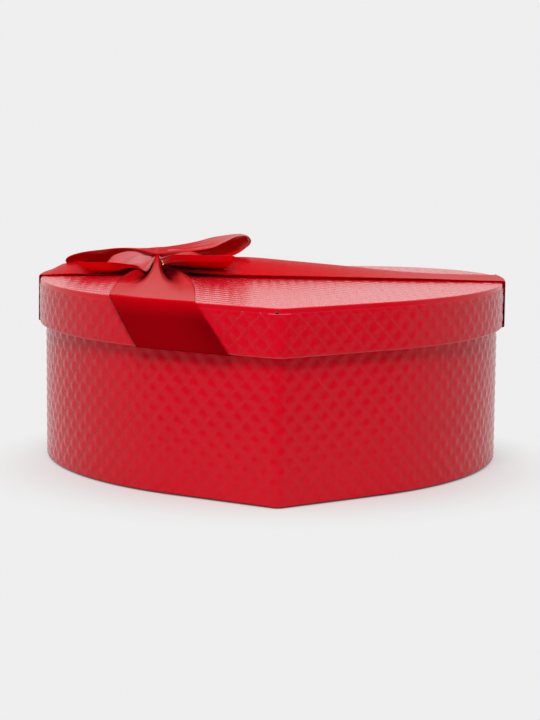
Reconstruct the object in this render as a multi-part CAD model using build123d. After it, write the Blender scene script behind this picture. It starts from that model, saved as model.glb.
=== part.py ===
from build123d import *
import math
import os

# Heart-shaped gift box: a chipboard base and a lift-off lid, wrapped in paper,
# with two satin ribbons that cross on the lid under a pinched bow.
# Frame: origin under the middle of the base, +Z up, the tip of the heart towards -Y.
# All sizes are in millimetres.

# Overall sizes: the base across its lobe circles and from tip to lobes, and the height with the lid on
BOX_WIDTH = 290.0
BOX_DEPTH = 280.0
BOX_HEIGHT = 113.5
LID_SKIRT_HEIGHT = 28.0

# Heart outline of the base. The angle, in degrees, is between a straight side and the line of symmetry.
CLEFT_DEPTH = 35.5
TIP_HALF_ANGLE = 57.0
TIP_RADIUS = 6.0
STRAIGHT_SIDE = 70.0

# Board, paper and how they turn over the edges
BOARD = 2.0
PAPER = 0.35
LID_CLEARANCE = 1.0
BASE_TURN_IN = 20.0
BASE_TURN_UNDER = 15.0
BOTTOM_SHEET_INSET = 3.0
LID_TURN_IN = 21.0
SKIRT_PAPER_SETBACK = 3.0

# Joint of the skirt boards, which shows through a slit at the tip: place beside the axis, and gap
SKIRT_JOINT_ASIDE = -1.4
SKIRT_JOINT_GAP = 2.0

# Slits in the lid paper's turned-down edge: width at the fold, spread for each unit of depth,
# and directions in degrees from the centre of a lobe arc or a side arc
SLIT_WIDTH = 1.0
SLIT_SPREAD = 0.3
LOBE_SLITS = [20.0, 55.0, 90.0, 125.0]
SIDE_SLITS = [-9.0]

# Satin ribbon, the knot where the two lengths of it cross, and their gathered necks at two heights
RIBBON_WIDTH = 50.0
RIBBON = 0.4
RIBBON_TUCK = 10.0
KNOT_FROM_AXIS = 75.0
KNOT_BEHIND_MIDDLE = 71.0
CROSS_RIGHT_SLANT = -6.0
CROSS_LEFT_SLANT = -1.3
GATHER_LENGTH = 45.0
NECK_WIDTH = 12.0
NECK = 1.6
LOWER_NECK_HEIGHT = 1.7
UPPER_NECK_HEIGHT = 6.0

# Right arm of the cross ribbon, stretched from its raised neck: distances from the knot,
# height of the front edge above the lid, and how much higher the back edge is
STRETCH_NEAR = 55.0
STRETCH_NEAR_LIFT = 2.8
STRETCH_NEAR_TILT = 5.0
STRETCH_FAR = 120.0
STRETCH_FAR_LIFT = 1.5
STRETCH_FAR_TILT = 2.9
STRETCH_END = 200.0

# Pleated front of the lengthwise ribbon: distance from the knot, width, and heights above the lid
PLEAT_NEAR = 22.0
PLEAT_NEAR_WIDTH = 30.0
PLEAT_NEAR_RIDGE = 5.0
PLEAT_NEAR_WING = 3.0
PLEAT_NEAR_LIFT = 0.7
PLEAT_FAR = 70.0
PLEAT_FAR_WIDTH = 44.0
PLEAT_FAR_RIDGE = 4.0
PLEAT_FAR_WING = 1.0
PLEAT_FAR_LIFT = 0.3
PLEAT_END_FROM_EDGE = 12.0
PLEAT_VALLEY = 0.27
PLEAT_SHOULDER = 0.4

# Bow: tails, loops and the wire tie. Heights are above the lid, lengths from the knot.
BOW_NECK_WIDTH = 14.0
BOW_LAYER_GAP = 0.3
TAIL_LENGTH = 52.0
TAIL_FLARE = 40.0
TAIL_SLANT_CUT = 11.0
TAIL_FRONT = 24.0
TAIL_BACK = 16.0
TAIL_FRONT_RISE = 8.0
TAIL_BACK_RISE = 1.0
TAIL_DROOP_LEFT = 6.0
TAIL_DROOP_RIGHT = 0.5
LOOP_FLARE = 38.0
LOOP_SETBACK = 36.0
LOOP_NECK_HEIGHT = 2.2
LOOP_CROWN_RADIUS = 25.0
LOOP_WAIST_RADIUS = 6.0
LEFT_LOOP_LENGTH = 61.0
LEFT_LOOP_CROWN = 15.5
LEFT_LOOP_END = (6.8, 12.2)
LEFT_LOOP_END_RADIUS = 2.6
RIGHT_LOOP_LENGTH = 63.0
RIGHT_LOOP_CROWN = 20.5
RIGHT_LOOP_BELLY = 12.5
RIGHT_LOOP_END = (17.5, 25.0)
RIGHT_LOOP_END_RADIUS = 3.4
TIE_WIRE = 1.0
TIE_WIRE_SIDES = 6
TIE_GAP = 0.5
TIE_CORNER_RADIUS = 1.6
TIE_END_LENGTH = 6.0
TIE_END_SPREAD = 2.5

# Where the layers lie, as distances outwards from the outline of the base
BASE_BOARD_OUT = -PAPER
BASE_BOARD_IN = BASE_BOARD_OUT - BOARD
BASE_INSIDE = BASE_BOARD_IN - PAPER
LID_INSIDE = LID_CLEARANCE
LID_BOARD_IN = LID_INSIDE + PAPER
LID_BOARD_OUT = LID_BOARD_IN + BOARD
LID_TURN_DOWN_OUT = LID_BOARD_OUT + PAPER
LID_OUTSIDE = LID_TURN_DOWN_OUT + PAPER

# Heights of the layers
TURN_UNDER_TOP = 2 * PAPER
FLOOR_TOP = TURN_UNDER_TOP + BOARD
FLOOR_LINER_TOP = FLOOR_TOP + PAPER
LID_TOP_BOARD_TOP = BOX_HEIGHT - PAPER
LID_TOP_BOARD_BOTTOM = LID_TOP_BOARD_TOP - BOARD
RIM = LID_TOP_BOARD_BOTTOM - PAPER
SKIRT_BOTTOM = BOX_HEIGHT - LID_SKIRT_HEIGHT

# Arcs and straight runs of the heart: a tip arc, a straight side, a side arc and a lobe arc,
# each tangent to the next. Layers share the centres, so they stay parallel.
half_angle = math.radians(TIP_HALF_ANGLE)
lobe_radius = BOX_WIDTH / 2 + CLEFT_DEPTH - math.sqrt(BOX_WIDTH * CLEFT_DEPTH)
lobe_centre = Vector(BOX_WIDTH / 2 - lobe_radius, BOX_DEPTH / 2 - lobe_radius)
tip_centre = Vector(0, TIP_RADIUS - BOX_DEPTH / 2)
side_run = Vector(math.sin(half_angle), math.cos(half_angle))
side_normal = Vector(math.cos(half_angle), -math.sin(half_angle))
straight_end = tip_centre + side_normal * TIP_RADIUS + side_run * STRAIGHT_SIDE
from_lobe = straight_end - lobe_centre
side_radius = (lobe_radius**2 - from_lobe.dot(from_lobe)) / (2 * (lobe_radius - side_normal.dot(from_lobe)))
side_centre = straight_end - side_normal * side_radius
side_start_angle = -TIP_HALF_ANGLE
side_end = (lobe_centre - side_centre).normalized()
side_end_angle = math.degrees(math.atan2(side_end.Y, side_end.X))


def heart_wire(offset):
    """Closed outline of the heart, moved outwards by offset."""
    tip_radius = TIP_RADIUS + offset
    cleft_angle = math.degrees(math.acos(-lobe_centre.X / (lobe_radius + offset)))
    line_start = tip_centre + side_normal * tip_radius
    right = [
        Line(line_start, line_start + side_run * STRAIGHT_SIDE),
        CenterArc(side_centre, side_radius + offset, side_start_angle, side_end_angle - side_start_angle),
        CenterArc(lobe_centre, lobe_radius + offset, side_end_angle, cleft_angle - side_end_angle),
    ]
    left = [mirror(edge, about=Plane.YZ).edge() for edge in right]
    tip = CenterArc(tip_centre, tip_radius, TIP_HALF_ANGLE - 180, 180 - 2 * TIP_HALF_ANGLE)
    return Wire([tip] + right + left)


def heart_block(offset, bottom, top):
    """Solid heart between two heights."""
    return extrude(Pos(0, 0, bottom) * make_face(heart_wire(offset)), amount=top - bottom)


def heart_ring(outer, inner, bottom, top):
    """Wall that follows the heart, between two offsets and two heights."""
    return heart_block(outer, bottom, top) - heart_block(inner, bottom, top)


def half_of(solid, keep, aside=0.0):
    """Left or right half of a piece that is split at the tip and the cleft."""
    return split(solid, bisect_by=Plane.YZ.offset(aside), keep=keep)


def quarter_turn(heading):
    """The plan direction a quarter turn to the left of heading."""
    return Vector(-heading.Y, heading.X)


def raised(point, height):
    """A plan point lifted to a height."""
    return Vector(point.X, point.Y, height)


def polygon(corners):
    """Flat face on a closed run of straight lines."""
    return make_face(Polyline(*corners, close=True))


# Base


def base_floor_board():
    return heart_block(BASE_BOARD_IN, TURN_UNDER_TOP, FLOOR_TOP)


def base_wall_board(keep):
    return half_of(heart_ring(BASE_BOARD_OUT, BASE_BOARD_IN, TURN_UNDER_TOP, RIM - PAPER), keep)


def base_wrap_paper():
    """One strip: under the floor, up the outside, over the rim and down the inside."""
    bare = Pos(0, 0, PAPER) * offset(make_face(heart_wire(0)), amount=-BASE_TURN_UNDER)
    under = heart_block(0, PAPER, TURN_UNDER_TOP) - extrude(bare, amount=PAPER)
    outside = heart_ring(0, BASE_BOARD_OUT, PAPER, RIM)
    over = heart_ring(0, BASE_INSIDE, RIM - PAPER, RIM)
    inside = heart_ring(BASE_BOARD_IN, BASE_INSIDE, RIM - BASE_TURN_IN, RIM)
    return under + outside + over + inside


def base_bottom_sheet():
    return heart_block(-BOTTOM_SHEET_INSET, 0, PAPER)


def base_floor_liner():
    return heart_block(BASE_BOARD_IN, FLOOR_TOP, FLOOR_LINER_TOP)


def base_wall_liner():
    return heart_ring(BASE_BOARD_IN, BASE_INSIDE, FLOOR_LINER_TOP, RIM - BASE_TURN_IN)


# Lid


def lid_top_board():
    return heart_block(LID_BOARD_OUT, LID_TOP_BOARD_BOTTOM, LID_TOP_BOARD_TOP)


def lid_skirt_board(keep):
    ring = heart_ring(LID_BOARD_OUT, LID_BOARD_IN, SKIRT_BOTTOM + PAPER, LID_TOP_BOARD_BOTTOM)
    gap = Pos(SKIRT_JOINT_ASIDE, 0, BOX_HEIGHT) * Box(SKIRT_JOINT_GAP, 2 * BOX_DEPTH, 2 * BOX_HEIGHT)
    return half_of(ring - gap, keep, SKIRT_JOINT_ASIDE)


def slit(point, normal):
    """Wedge cut from the turned-down paper, widening downwards from the fold."""
    depth = LID_SKIRT_HEIGHT - PAPER
    top = SLIT_WIDTH / 2
    low = top + depth * SLIT_SPREAD
    face = polygon([(-top, 0), (top, 0), (low, -depth), (-low, -depth)])
    upright = Plane(raised(point, LID_TOP_BOARD_TOP), quarter_turn(normal), normal)
    return extrude(upright * face, amount=BOARD, both=True)


def slit_places():
    """Points and outward directions of the slits: at the tip, along the sides and round the lobes."""
    tip_reach = TIP_RADIUS + LID_BOARD_OUT
    tip_normal = Vector(SKIRT_JOINT_ASIDE, -math.sqrt(tip_reach**2 - SKIRT_JOINT_ASIDE**2)).normalized()
    places = [(tip_centre + tip_normal * tip_reach, tip_normal)]
    rounds = [(side_centre, side_radius, angle) for angle in SIDE_SLITS]
    rounds += [(lobe_centre, lobe_radius, angle) for angle in LOBE_SLITS]
    for centre, radius, angle in rounds:
        normal = Vector(math.cos(math.radians(angle)), math.sin(math.radians(angle)))
        point = centre + normal * (radius + LID_BOARD_OUT)
        places.append((point, normal))
        places.append((Vector(-point.X, point.Y), Vector(-normal.X, normal.Y)))
    return places


def lid_top_paper():
    """Sheet on the top board, turned down round the skirt and slit so that it lies flat."""
    sheet = heart_block(LID_TURN_DOWN_OUT, LID_TOP_BOARD_TOP, BOX_HEIGHT)
    turn_down = heart_ring(LID_TURN_DOWN_OUT, LID_BOARD_OUT, SKIRT_BOTTOM + PAPER, LID_TOP_BOARD_TOP)
    for point, normal in slit_places():
        turn_down -= slit(point, normal)
    return sheet + turn_down


def lid_skirt_paper():
    """Strip round the skirt that stops short of the top and turns round the lower rim."""
    outside = heart_ring(LID_OUTSIDE, LID_TURN_DOWN_OUT, SKIRT_BOTTOM, BOX_HEIGHT - SKIRT_PAPER_SETBACK)
    under = heart_ring(LID_OUTSIDE, LID_INSIDE, SKIRT_BOTTOM, SKIRT_BOTTOM + PAPER)
    inside = heart_ring(LID_BOARD_IN, LID_INSIDE, SKIRT_BOTTOM, SKIRT_BOTTOM + LID_TURN_IN)
    return outside + under + inside


def lid_top_liner():
    return heart_block(LID_BOARD_IN, RIM, LID_TOP_BOARD_BOTTOM)


# Ribbons on the lid

knot = Vector(-KNOT_FROM_AXIS, KNOT_BEHIND_MIDDLE)
to_right = Vector(1, 0).rotate(Axis.Z, CROSS_RIGHT_SLANT)
to_left = Vector(-1, 0).rotate(Axis.Z, CROSS_LEFT_SLANT)
to_front = Vector(0, -1)
to_back = Vector(0, 1)


def lid_edge(heading):
    """Where a ribbon that leaves the knot along heading meets the lid's edge, and the normal there."""
    outline = heart_wire(LID_OUTSIDE)
    ray = Line(knot, knot + heading * (BOX_WIDTH + BOX_DEPTH))
    crossing = Vector(outline.intersect(ray)[0])
    edge = outline.edges().sort_by_distance(crossing)[0]
    normal = quarter_turn(edge.tangent_at(crossing))
    if normal.dot(heading) < 0:
        normal = -normal
    return crossing, normal


def ribbon_fold(heading):
    """Ribbon end that folds over the lid's edge, down the skirt, round its rim and up inside."""
    crossing, normal = lid_edge(heading)
    along = quarter_turn(normal)
    half = RIBBON_WIDTH / 2 / heading.dot(normal)
    drift = heading.dot(along) / heading.dot(normal)
    upright = Plane(crossing, along, normal)
    top = BOX_HEIGHT + RIBBON
    low = SKIRT_BOTTOM - RIBBON
    tuck_top = SKIRT_BOTTOM + RIBBON_TUCK
    shift_low = drift * (top - low)
    shift_tuck = shift_low + drift * (tuck_top - low)

    def strip(shift_start, start, shift_end, end):
        corners = [
            (shift_start - half, start),
            (shift_start + half, start),
            (shift_end + half, end),
            (shift_end - half, end),
        ]
        return extrude(upright * polygon(corners), amount=RIBBON_WIDTH, both=True)

    outer = LID_OUTSIDE + RIBBON
    inner = LID_INSIDE - RIBBON
    down = strip(shift_low, low, 0, top)
    up = strip(shift_low, low, shift_tuck, tuck_top)
    skirt = heart_ring(outer, LID_OUTSIDE, low, top) & down
    under = heart_ring(outer, inner, low, SKIRT_BOTTOM) & down
    tuck = heart_ring(LID_INSIDE, inner, low, tuck_top) & up
    return skirt + under + tuck


def ribbon_flat(heading, inner_corners):
    """Ribbon that lies on the lid, from two inner corners, left then right, out to the lid's edge."""
    left, right = inner_corners
    reach = heading * (BOX_WIDTH + BOX_DEPTH)
    corners = [left, right, right + reach, left + reach]
    layer = heart_block(LID_OUTSIDE + RIBBON, BOX_HEIGHT, BOX_HEIGHT + RIBBON)
    return layer & extrude(polygon(corners), amount=BOX_HEIGHT + LID_SKIRT_HEIGHT)


def across(heading, distance, width):
    """Left and right edge of the ribbon, a distance from the knot, seen along heading."""
    centre = knot + heading * distance
    sideways = quarter_turn(heading) * (width / 2)
    return centre + sideways, centre - sideways


def section_face(left, right, bottom, thickness, ridge=0.0, wing=0.0, tilt=0.0):
    """Upright section of a ribbon: two valleys and a middle ridge, or straight where ridge and wing are 0.
    Its left edge is higher by tilt."""

    def at(share, lift):
        return raised(left + (right - left) * share, BOX_HEIGHT + bottom + lift + tilt * (1 - share))

    def bend(start, middle, end):
        if ridge or wing:
            return ThreePointArc(start, middle, end)
        return Line(start, end)

    def surface(lift):
        shoulder = lift + ridge / 2
        return [
            bend(at(0, lift + wing), at(PLEAT_VALLEY, lift), at(PLEAT_SHOULDER, shoulder)),
            bend(at(PLEAT_SHOULDER, shoulder), at(0.5, lift + ridge), at(1 - PLEAT_SHOULDER, shoulder)),
            bend(at(1 - PLEAT_SHOULDER, shoulder), at(1 - PLEAT_VALLEY, lift), at(1, lift + wing)),
        ]

    ends = [Line(at(side, wing), at(side, wing + thickness)) for side in (0, 1)]
    return make_face(Wire(surface(0) + surface(thickness) + ends))


def gathered_arm(heading, neck_height):
    """Flat ribbon from the lid's edge that narrows and rises to its neck at the knot."""
    start = across(heading, GATHER_LENGTH, RIBBON_WIDTH)
    wide = section_face(*start, 0, RIBBON)
    neck = section_face(*across(heading, 0, NECK_WIDTH), neck_height, NECK)
    return loft([wide, neck], ruled=True) + ribbon_flat(heading, start) + ribbon_fold(heading)


def stretched_arm(heading, neck_height):
    """Ribbon that slopes down from its neck, back edge higher than front edge, flat near the lid's edge."""
    near = across(heading, STRETCH_NEAR, RIBBON_WIDTH)
    far = across(heading, STRETCH_FAR, RIBBON_WIDTH)
    end = across(heading, STRETCH_END, RIBBON_WIDTH)
    sections = [
        section_face(*across(heading, 0, NECK_WIDTH), neck_height, NECK),
        section_face(*near, STRETCH_NEAR_LIFT, RIBBON, tilt=STRETCH_NEAR_TILT),
        section_face(*far, STRETCH_FAR_LIFT, RIBBON, tilt=STRETCH_FAR_TILT),
        section_face(*end, 0, RIBBON),
    ]
    return loft(sections, ruled=True) + ribbon_flat(heading, end) + ribbon_fold(heading)


def pleated_arm(heading, neck_height):
    """Ribbon gathered in pleats that open out and lie flat at a slanting edge of the lid."""
    crossing, normal = lid_edge(heading)
    along = quarter_turn(normal)
    half = RIBBON_WIDTH / 2 / heading.dot(normal)
    fold = crossing - heading * (PLEAT_END_FROM_EDGE / heading.dot(normal))
    end = (fold + along * half, fold - along * half)
    near = across(heading, PLEAT_NEAR, PLEAT_NEAR_WIDTH)
    far = across(heading, PLEAT_FAR, PLEAT_FAR_WIDTH)
    sections = [
        section_face(*across(heading, 0, NECK_WIDTH), neck_height, NECK),
        section_face(*near, PLEAT_NEAR_LIFT, RIBBON, PLEAT_NEAR_RIDGE, PLEAT_NEAR_WING),
        section_face(*far, PLEAT_FAR_LIFT, RIBBON, PLEAT_FAR_RIDGE, PLEAT_FAR_WING),
        section_face(*end, 0, RIBBON),
    ]
    return loft(sections, ruled=True) + ribbon_flat(heading, end) + ribbon_fold(heading)


def cross_ribbon():
    return gathered_arm(to_left, UPPER_NECK_HEIGHT) + stretched_arm(to_right, UPPER_NECK_HEIGHT)


def lengthwise_ribbon():
    return pleated_arm(to_front, LOWER_NECK_HEIGHT) + gathered_arm(to_back, LOWER_NECK_HEIGHT)


# Bow, worked out from the knot at lid height

bow_place = Pos(knot.X, knot.Y, BOX_HEIGHT)
tail_height = UPPER_NECK_HEIGHT + NECK + BOW_LAYER_GAP
loop_height = tail_height + RIBBON + BOW_LAYER_GAP


def bow_tail_ribbon():
    """Cupped strip that droops to both sides of the knot, cut to its flared plan and slanting ends."""
    neck = BOW_NECK_WIDTH / 2

    def cup(lift):
        front = TangentArc((-neck, lift), (-TAIL_FRONT, TAIL_FRONT_RISE + lift), tangent=(-1, 0))
        back = TangentArc((neck, lift), (TAIL_BACK, TAIL_BACK_RISE + lift), tangent=(1, 0))
        return [front, Line((-neck, lift), (neck, lift)), back]

    ends = [
        Line((-TAIL_FRONT, TAIL_FRONT_RISE), (-TAIL_FRONT, TAIL_FRONT_RISE + RIBBON)),
        Line((TAIL_BACK, TAIL_BACK_RISE), (TAIL_BACK, TAIL_BACK_RISE + RIBBON)),
    ]
    section = Pos(0, 0, tail_height) * (Plane.YZ * make_face(cup(0) + cup(RIBBON) + ends).face())
    right = Solid.extrude(section, Vector(TAIL_LENGTH, 0, -TAIL_DROOP_RIGHT))
    left = Solid.extrude(section, Vector(-TAIL_LENGTH, 0, -TAIL_DROOP_LEFT))
    side = [
        (0, -neck),
        (TAIL_FLARE, -TAIL_FRONT),
        (TAIL_LENGTH, -TAIL_FRONT),
        (TAIL_LENGTH - TAIL_SLANT_CUT, TAIL_BACK),
        (TAIL_FLARE - TAIL_SLANT_CUT, TAIL_BACK),
        (0, neck),
    ]
    other_side = [(-x, y) for x, y in reversed(side[1:-1])]
    plan = extrude(polygon(side + other_side), amount=BOX_HEIGHT)
    return bow_place * ((Part() + right + left) & plan)


def bow_loop_ribbon():
    """Ring of ribbon drawn to a waist at the knot, with a low left loop and a raised right loop."""
    waist_top = loop_height + LOOP_NECK_HEIGHT
    corners = [
        (0, loop_height),
        (-LEFT_LOOP_LENGTH, LEFT_LOOP_END[0]),
        (-LEFT_LOOP_LENGTH, LEFT_LOOP_END[1]),
        (-LEFT_LOOP_LENGTH / 2, LEFT_LOOP_CROWN),
        (0, waist_top),
        (RIGHT_LOOP_LENGTH / 2, RIGHT_LOOP_CROWN),
        (RIGHT_LOOP_LENGTH, RIGHT_LOOP_END[1]),
        (RIGHT_LOOP_LENGTH, RIGHT_LOOP_END[0]),
        (RIGHT_LOOP_LENGTH / 2, RIGHT_LOOP_BELLY),
    ]
    radii = [
        LOOP_CROWN_RADIUS,
        LEFT_LOOP_END_RADIUS,
        LEFT_LOOP_END_RADIUS,
        LOOP_CROWN_RADIUS,
        LOOP_WAIST_RADIUS,
        LOOP_CROWN_RADIUS,
        RIGHT_LOOP_END_RADIUS,
        RIGHT_LOOP_END_RADIUS,
        LOOP_CROWN_RADIUS,
    ]
    outline = make_face(FilletPolyline(*corners, radius=radii, close=True))
    ring = outline - offset(outline, amount=-RIBBON)
    band = extrude(Plane.XZ * ring, amount=BOX_DEPTH, both=True)
    half = RIBBON_WIDTH / 2
    side = [
        (0, -BOW_NECK_WIDTH / 2),
        (LOOP_FLARE, LOOP_SETBACK - half),
        (BOX_WIDTH, LOOP_SETBACK - half),
        (BOX_WIDTH, LOOP_SETBACK + half),
        (LOOP_FLARE, LOOP_SETBACK + half),
        (0, BOW_NECK_WIDTH / 2),
    ]
    other_side = [(-x, y) for x, y in reversed(side[1:-1])]
    plan = extrude(polygon(side + other_side), amount=BOX_HEIGHT)
    return bow_place * (band & plan)


def twist_tie():
    """Wire ring round the neck of the bow and the cross ribbon, with two short ends in front."""
    reach = BOW_NECK_WIDTH / 2 + TIE_GAP + TIE_WIRE / 2
    low = UPPER_NECK_HEIGHT - TIE_GAP - TIE_WIRE / 2
    high = loop_height + LOOP_NECK_HEIGHT + TIE_GAP + TIE_WIRE / 2
    corners = [(0, -reach, low), (0, reach, low), (0, reach, high), (0, -reach, high)]
    path = FilletPolyline(*corners, radius=TIE_CORNER_RADIUS, close=True)
    wire = RegularPolygon(TIE_WIRE / 2, TIE_WIRE_SIDES)
    tie = sweep(Plane(path @ 0, z_dir=path % 0) * wire, path=path)
    middle = (low + high) / 2
    for side in (-1, 1):
        start = Vector(0, -reach, middle)
        run = Vector(side * TIE_END_SPREAD, -TIE_END_LENGTH, side * TIE_WIRE)
        tie += extrude(Plane(start, z_dir=run) * wire, amount=run.length)
    return bow_place * tie


PIECES = {
    "base_floor_board": base_floor_board(),
    "base_wall_board_left": base_wall_board(Keep.BOTTOM),
    "base_wall_board_right": base_wall_board(Keep.TOP),
    "base_wrap_paper": base_wrap_paper(),
    "base_bottom_sheet": base_bottom_sheet(),
    "base_floor_liner": base_floor_liner(),
    "base_wall_liner": base_wall_liner(),
    "lid_top_board": lid_top_board(),
    "lid_skirt_board_left": lid_skirt_board(Keep.BOTTOM),
    "lid_skirt_board_right": lid_skirt_board(Keep.TOP),
    "lid_top_paper": lid_top_paper(),
    "lid_skirt_paper": lid_skirt_paper(),
    "lid_top_liner": lid_top_liner(),
    "cross_ribbon": cross_ribbon(),
    "lengthwise_ribbon": lengthwise_ribbon(),
    "bow_tail_ribbon": bow_tail_ribbon(),
    "bow_loop_ribbon": bow_loop_ribbon(),
    "twist_tie": twist_tie(),
}

os.makedirs("parts", exist_ok=True)
for name, piece in PIECES.items():
    export_step(piece, f"parts/{name}.step")
    print(name, "solids", len(piece.solids()), "volume", round(piece.volume, 1))
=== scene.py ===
# %% [markdown]
# # A heart-shaped gift box with a satin bow
# A chipboard base and a lift-off lid are wrapped in red paper that is embossed with diamonds.
# Two satin ribbons cross on the lid, and a bow is wired on where they meet.
# The boards are already there, as the fixed frame. This lesson makes what the eye sees: the papers,
# the ribbons, the bow and its wire, and a finish for every board and lining.
# Sizes are in millimetres, as on a maker's drawing, and become metres when a mesh is made.

# %% Load the frame
import math

import bpy
import bmesh
import numpy as np
from mathutils import Matrix, Vector
from mathutils.kdtree import KDTree


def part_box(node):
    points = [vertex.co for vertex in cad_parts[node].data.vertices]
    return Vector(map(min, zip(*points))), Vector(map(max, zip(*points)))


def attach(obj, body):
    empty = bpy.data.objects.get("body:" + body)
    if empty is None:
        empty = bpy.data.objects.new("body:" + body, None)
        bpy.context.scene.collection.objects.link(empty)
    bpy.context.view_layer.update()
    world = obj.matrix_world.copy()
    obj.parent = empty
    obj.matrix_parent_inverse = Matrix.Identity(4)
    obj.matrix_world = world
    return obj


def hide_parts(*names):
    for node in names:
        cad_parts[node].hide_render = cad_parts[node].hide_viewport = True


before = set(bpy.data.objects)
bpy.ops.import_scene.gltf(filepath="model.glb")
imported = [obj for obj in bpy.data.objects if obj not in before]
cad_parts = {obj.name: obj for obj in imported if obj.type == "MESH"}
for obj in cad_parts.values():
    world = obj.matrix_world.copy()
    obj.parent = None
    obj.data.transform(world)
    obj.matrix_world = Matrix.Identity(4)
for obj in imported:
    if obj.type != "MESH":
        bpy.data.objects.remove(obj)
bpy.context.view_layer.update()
scene = bpy.context.scene
MM = 0.001

# %% [markdown]
# ## Camera
# The box was photographed from the front with a long lens, a little above the lid. The place, turn and
# focal length come from matching the outline of the base and the lid to the picture. The angles are
# turned into three axes by hand, so that the small roll of the camera is kept as well.

# %% Camera
CAMERA_PLACE = (-29.36, -1207.1, 225.7)
CAMERA_LENS = 97.18
CAMERA_YAW = 0.0228
CAMERA_PITCH = 0.1316
CAMERA_ROLL = 0.0091


def camera_axes(yaw, pitch, roll):
    """Right, up and backward directions of a camera that looks along +Y when all angles are 0."""
    level_part = math.cos(pitch)
    forward = Vector((math.sin(yaw) * level_part, math.cos(yaw) * level_part, -math.sin(pitch)))
    level = Vector((math.cos(yaw), -math.sin(yaw), 0))
    above = level.cross(forward)
    right = level * math.cos(roll) + above * math.sin(roll)
    up = above * math.cos(roll) - level * math.sin(roll)
    return right, up, -forward


camera = bpy.data.objects.new("camera", bpy.data.cameras.new("camera"))
camera.data.lens = CAMERA_LENS
camera.matrix_world = (
    Matrix.Translation(Vector(CAMERA_PLACE) * MM)
    @ Matrix(camera_axes(CAMERA_YAW, CAMERA_PITCH, CAMERA_ROLL)).transposed().to_4x4()
)
scene.collection.objects.link(camera)
scene.camera = camera
scene.view_settings.view_transform = "Standard"
print("camera is", round(Vector(CAMERA_PLACE).length), "mm from the foot of the box")

# %% [markdown]
# ## Nodes as sums
# Node trees are easier to read as sums than as wires. A socket is wrapped in a small class, so that
# `1 - mask` adds a Math node by itself, and every other node comes from one method that takes its type,
# its settings and what goes into its sockets. The nodes that every finish needs get a short method each,
# which calls that one.


# %% Node helpers
class Socket:
    """An output socket that can stand in a sum. Each operator adds one Math node."""

    def __init__(self, bench, node, output=0):
        self.bench = bench
        self.node = node
        self.socket = node.outputs[output]

    def out(self, output):
        return Socket(self.bench, self.node, output)

    def math(self, operation, *others):
        return self.bench.sum(operation, self, *others)

    def __add__(self, other):
        return self.math("ADD", other)

    def __radd__(self, other):
        return self.math("ADD", other)

    def __sub__(self, other):
        return self.math("SUBTRACT", other)

    def __rsub__(self, other):
        return self.bench.sum("SUBTRACT", other, self)

    def __mul__(self, other):
        return self.math("MULTIPLY", other)

    def __rmul__(self, other):
        return self.math("MULTIPLY", other)

    def __truediv__(self, other):
        return self.math("DIVIDE", other)

    def __gt__(self, other):
        return self.math("GREATER_THAN", other)

    def __lt__(self, other):
        return self.math("LESS_THAN", other)


class Bench:
    """Adds nodes to one tree."""

    def __init__(self, tree):
        self.tree = tree

    def add(self, kind, settings=None, inputs=None):
        node = self.tree.nodes.new(kind)
        for name, value in (settings or {}).items():
            setattr(node, name, value)
        for key, value in (inputs or {}).items():
            if isinstance(value, Socket):
                self.tree.links.new(value.socket, node.inputs[key])
            else:
                node.inputs[key].default_value = value
        return Socket(self, node) if node.outputs else node

    def sum(self, operation, *values):
        return self.add("ShaderNodeMath", {"operation": operation}, dict(enumerate(values)))

    def mix(self, share, first, second):
        """Blend of two colours."""
        inputs = {0: share, 6: first, 7: second}
        return self.add("ShaderNodeMix", {"data_type": "RGBA"}, inputs).out(2)

    def ease(self, value, start, end):
        """0 up to the start, 1 from the end on, and a smooth step between."""
        settings = {"interpolation_type": "SMOOTHSTEP"}
        return self.add("ShaderNodeMapRange", settings, {0: value, 1: start, 2: end})

    def noise(self, place, scale, detail):
        inputs = {"Vector": place, "Scale": scale, "Detail": detail}
        return self.add("ShaderNodeTexNoise", {}, inputs)

    def mark(self, name):
        """A number that the mesh keeps at each of its points."""
        return self.add("ShaderNodeAttribute", {"attribute_name": name}).out("Fac")

    def bump(self, strength, distance, height):
        inputs = {"Strength": strength, "Distance": distance, "Height": height}
        return self.add("ShaderNodeBump", {}, inputs)

    def show(self, shader):
        self.add("ShaderNodeOutputMaterial", {}, {"Surface": shader})


def new_finish(name):
    """An empty material and the bench that fills it."""
    material = bpy.data.materials.new(name)
    material.use_nodes = True
    material.node_tree.nodes.clear()
    return material, Bench(material.node_tree)


# %% [markdown]
# ## Studio
# A pale floor, a bright backdrop behind and beside the box, and a darker room on the camera's side.
# Glossy red paper shows that darker room in its front and the bright backdrop in its top, which is
# what makes the lid look pink and the front deep red. One large soft lamp hangs above and in front, a
# little to the left. A light path node tells which ray asks, so one surface can do two jobs: the floor
# looks pale and runs into the backdrop, yet throws less light on the walls than it shows, and its part
# in front of the box looks darker to glossy paper, as the unlit end of a studio table does.

# %% Studio
WHITE = (1, 1, 1, 1)

# Backdrop and room as they look, then as they light the box
BACKDROP = 0.86
ROOM = 0.08
DOME = 0.38
FILL = 0.09

# Forward part of a direction at which the room ends and the full backdrop starts
ROOM_END = -0.6
BACKDROP_START = 0.2
LAMP_PLACE = (-120.0, -960.0, 1330.0)
LAMP_SIZE = 0.7
LAMP_POWER = 17.0

# Floor: its colour, the colour with which it lights the box, and the distances between which it runs
# into the backdrop. The last three say where it darkens in mirrors, and by how much
FLOOR_SIZE = 9.0
FLOOR_COLOUR = (0.85, 0.835, 0.83, 1)
FLOOR_BOUNCE = (0.60, 0.59, 0.59, 1)
FLOOR_NEAR = 0.08
FLOOR_FAR = 0.20
MIRRORED_NEAR = -0.20
MIRRORED_FAR = -0.42
MIRRORED_DARK = 0.85


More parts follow.
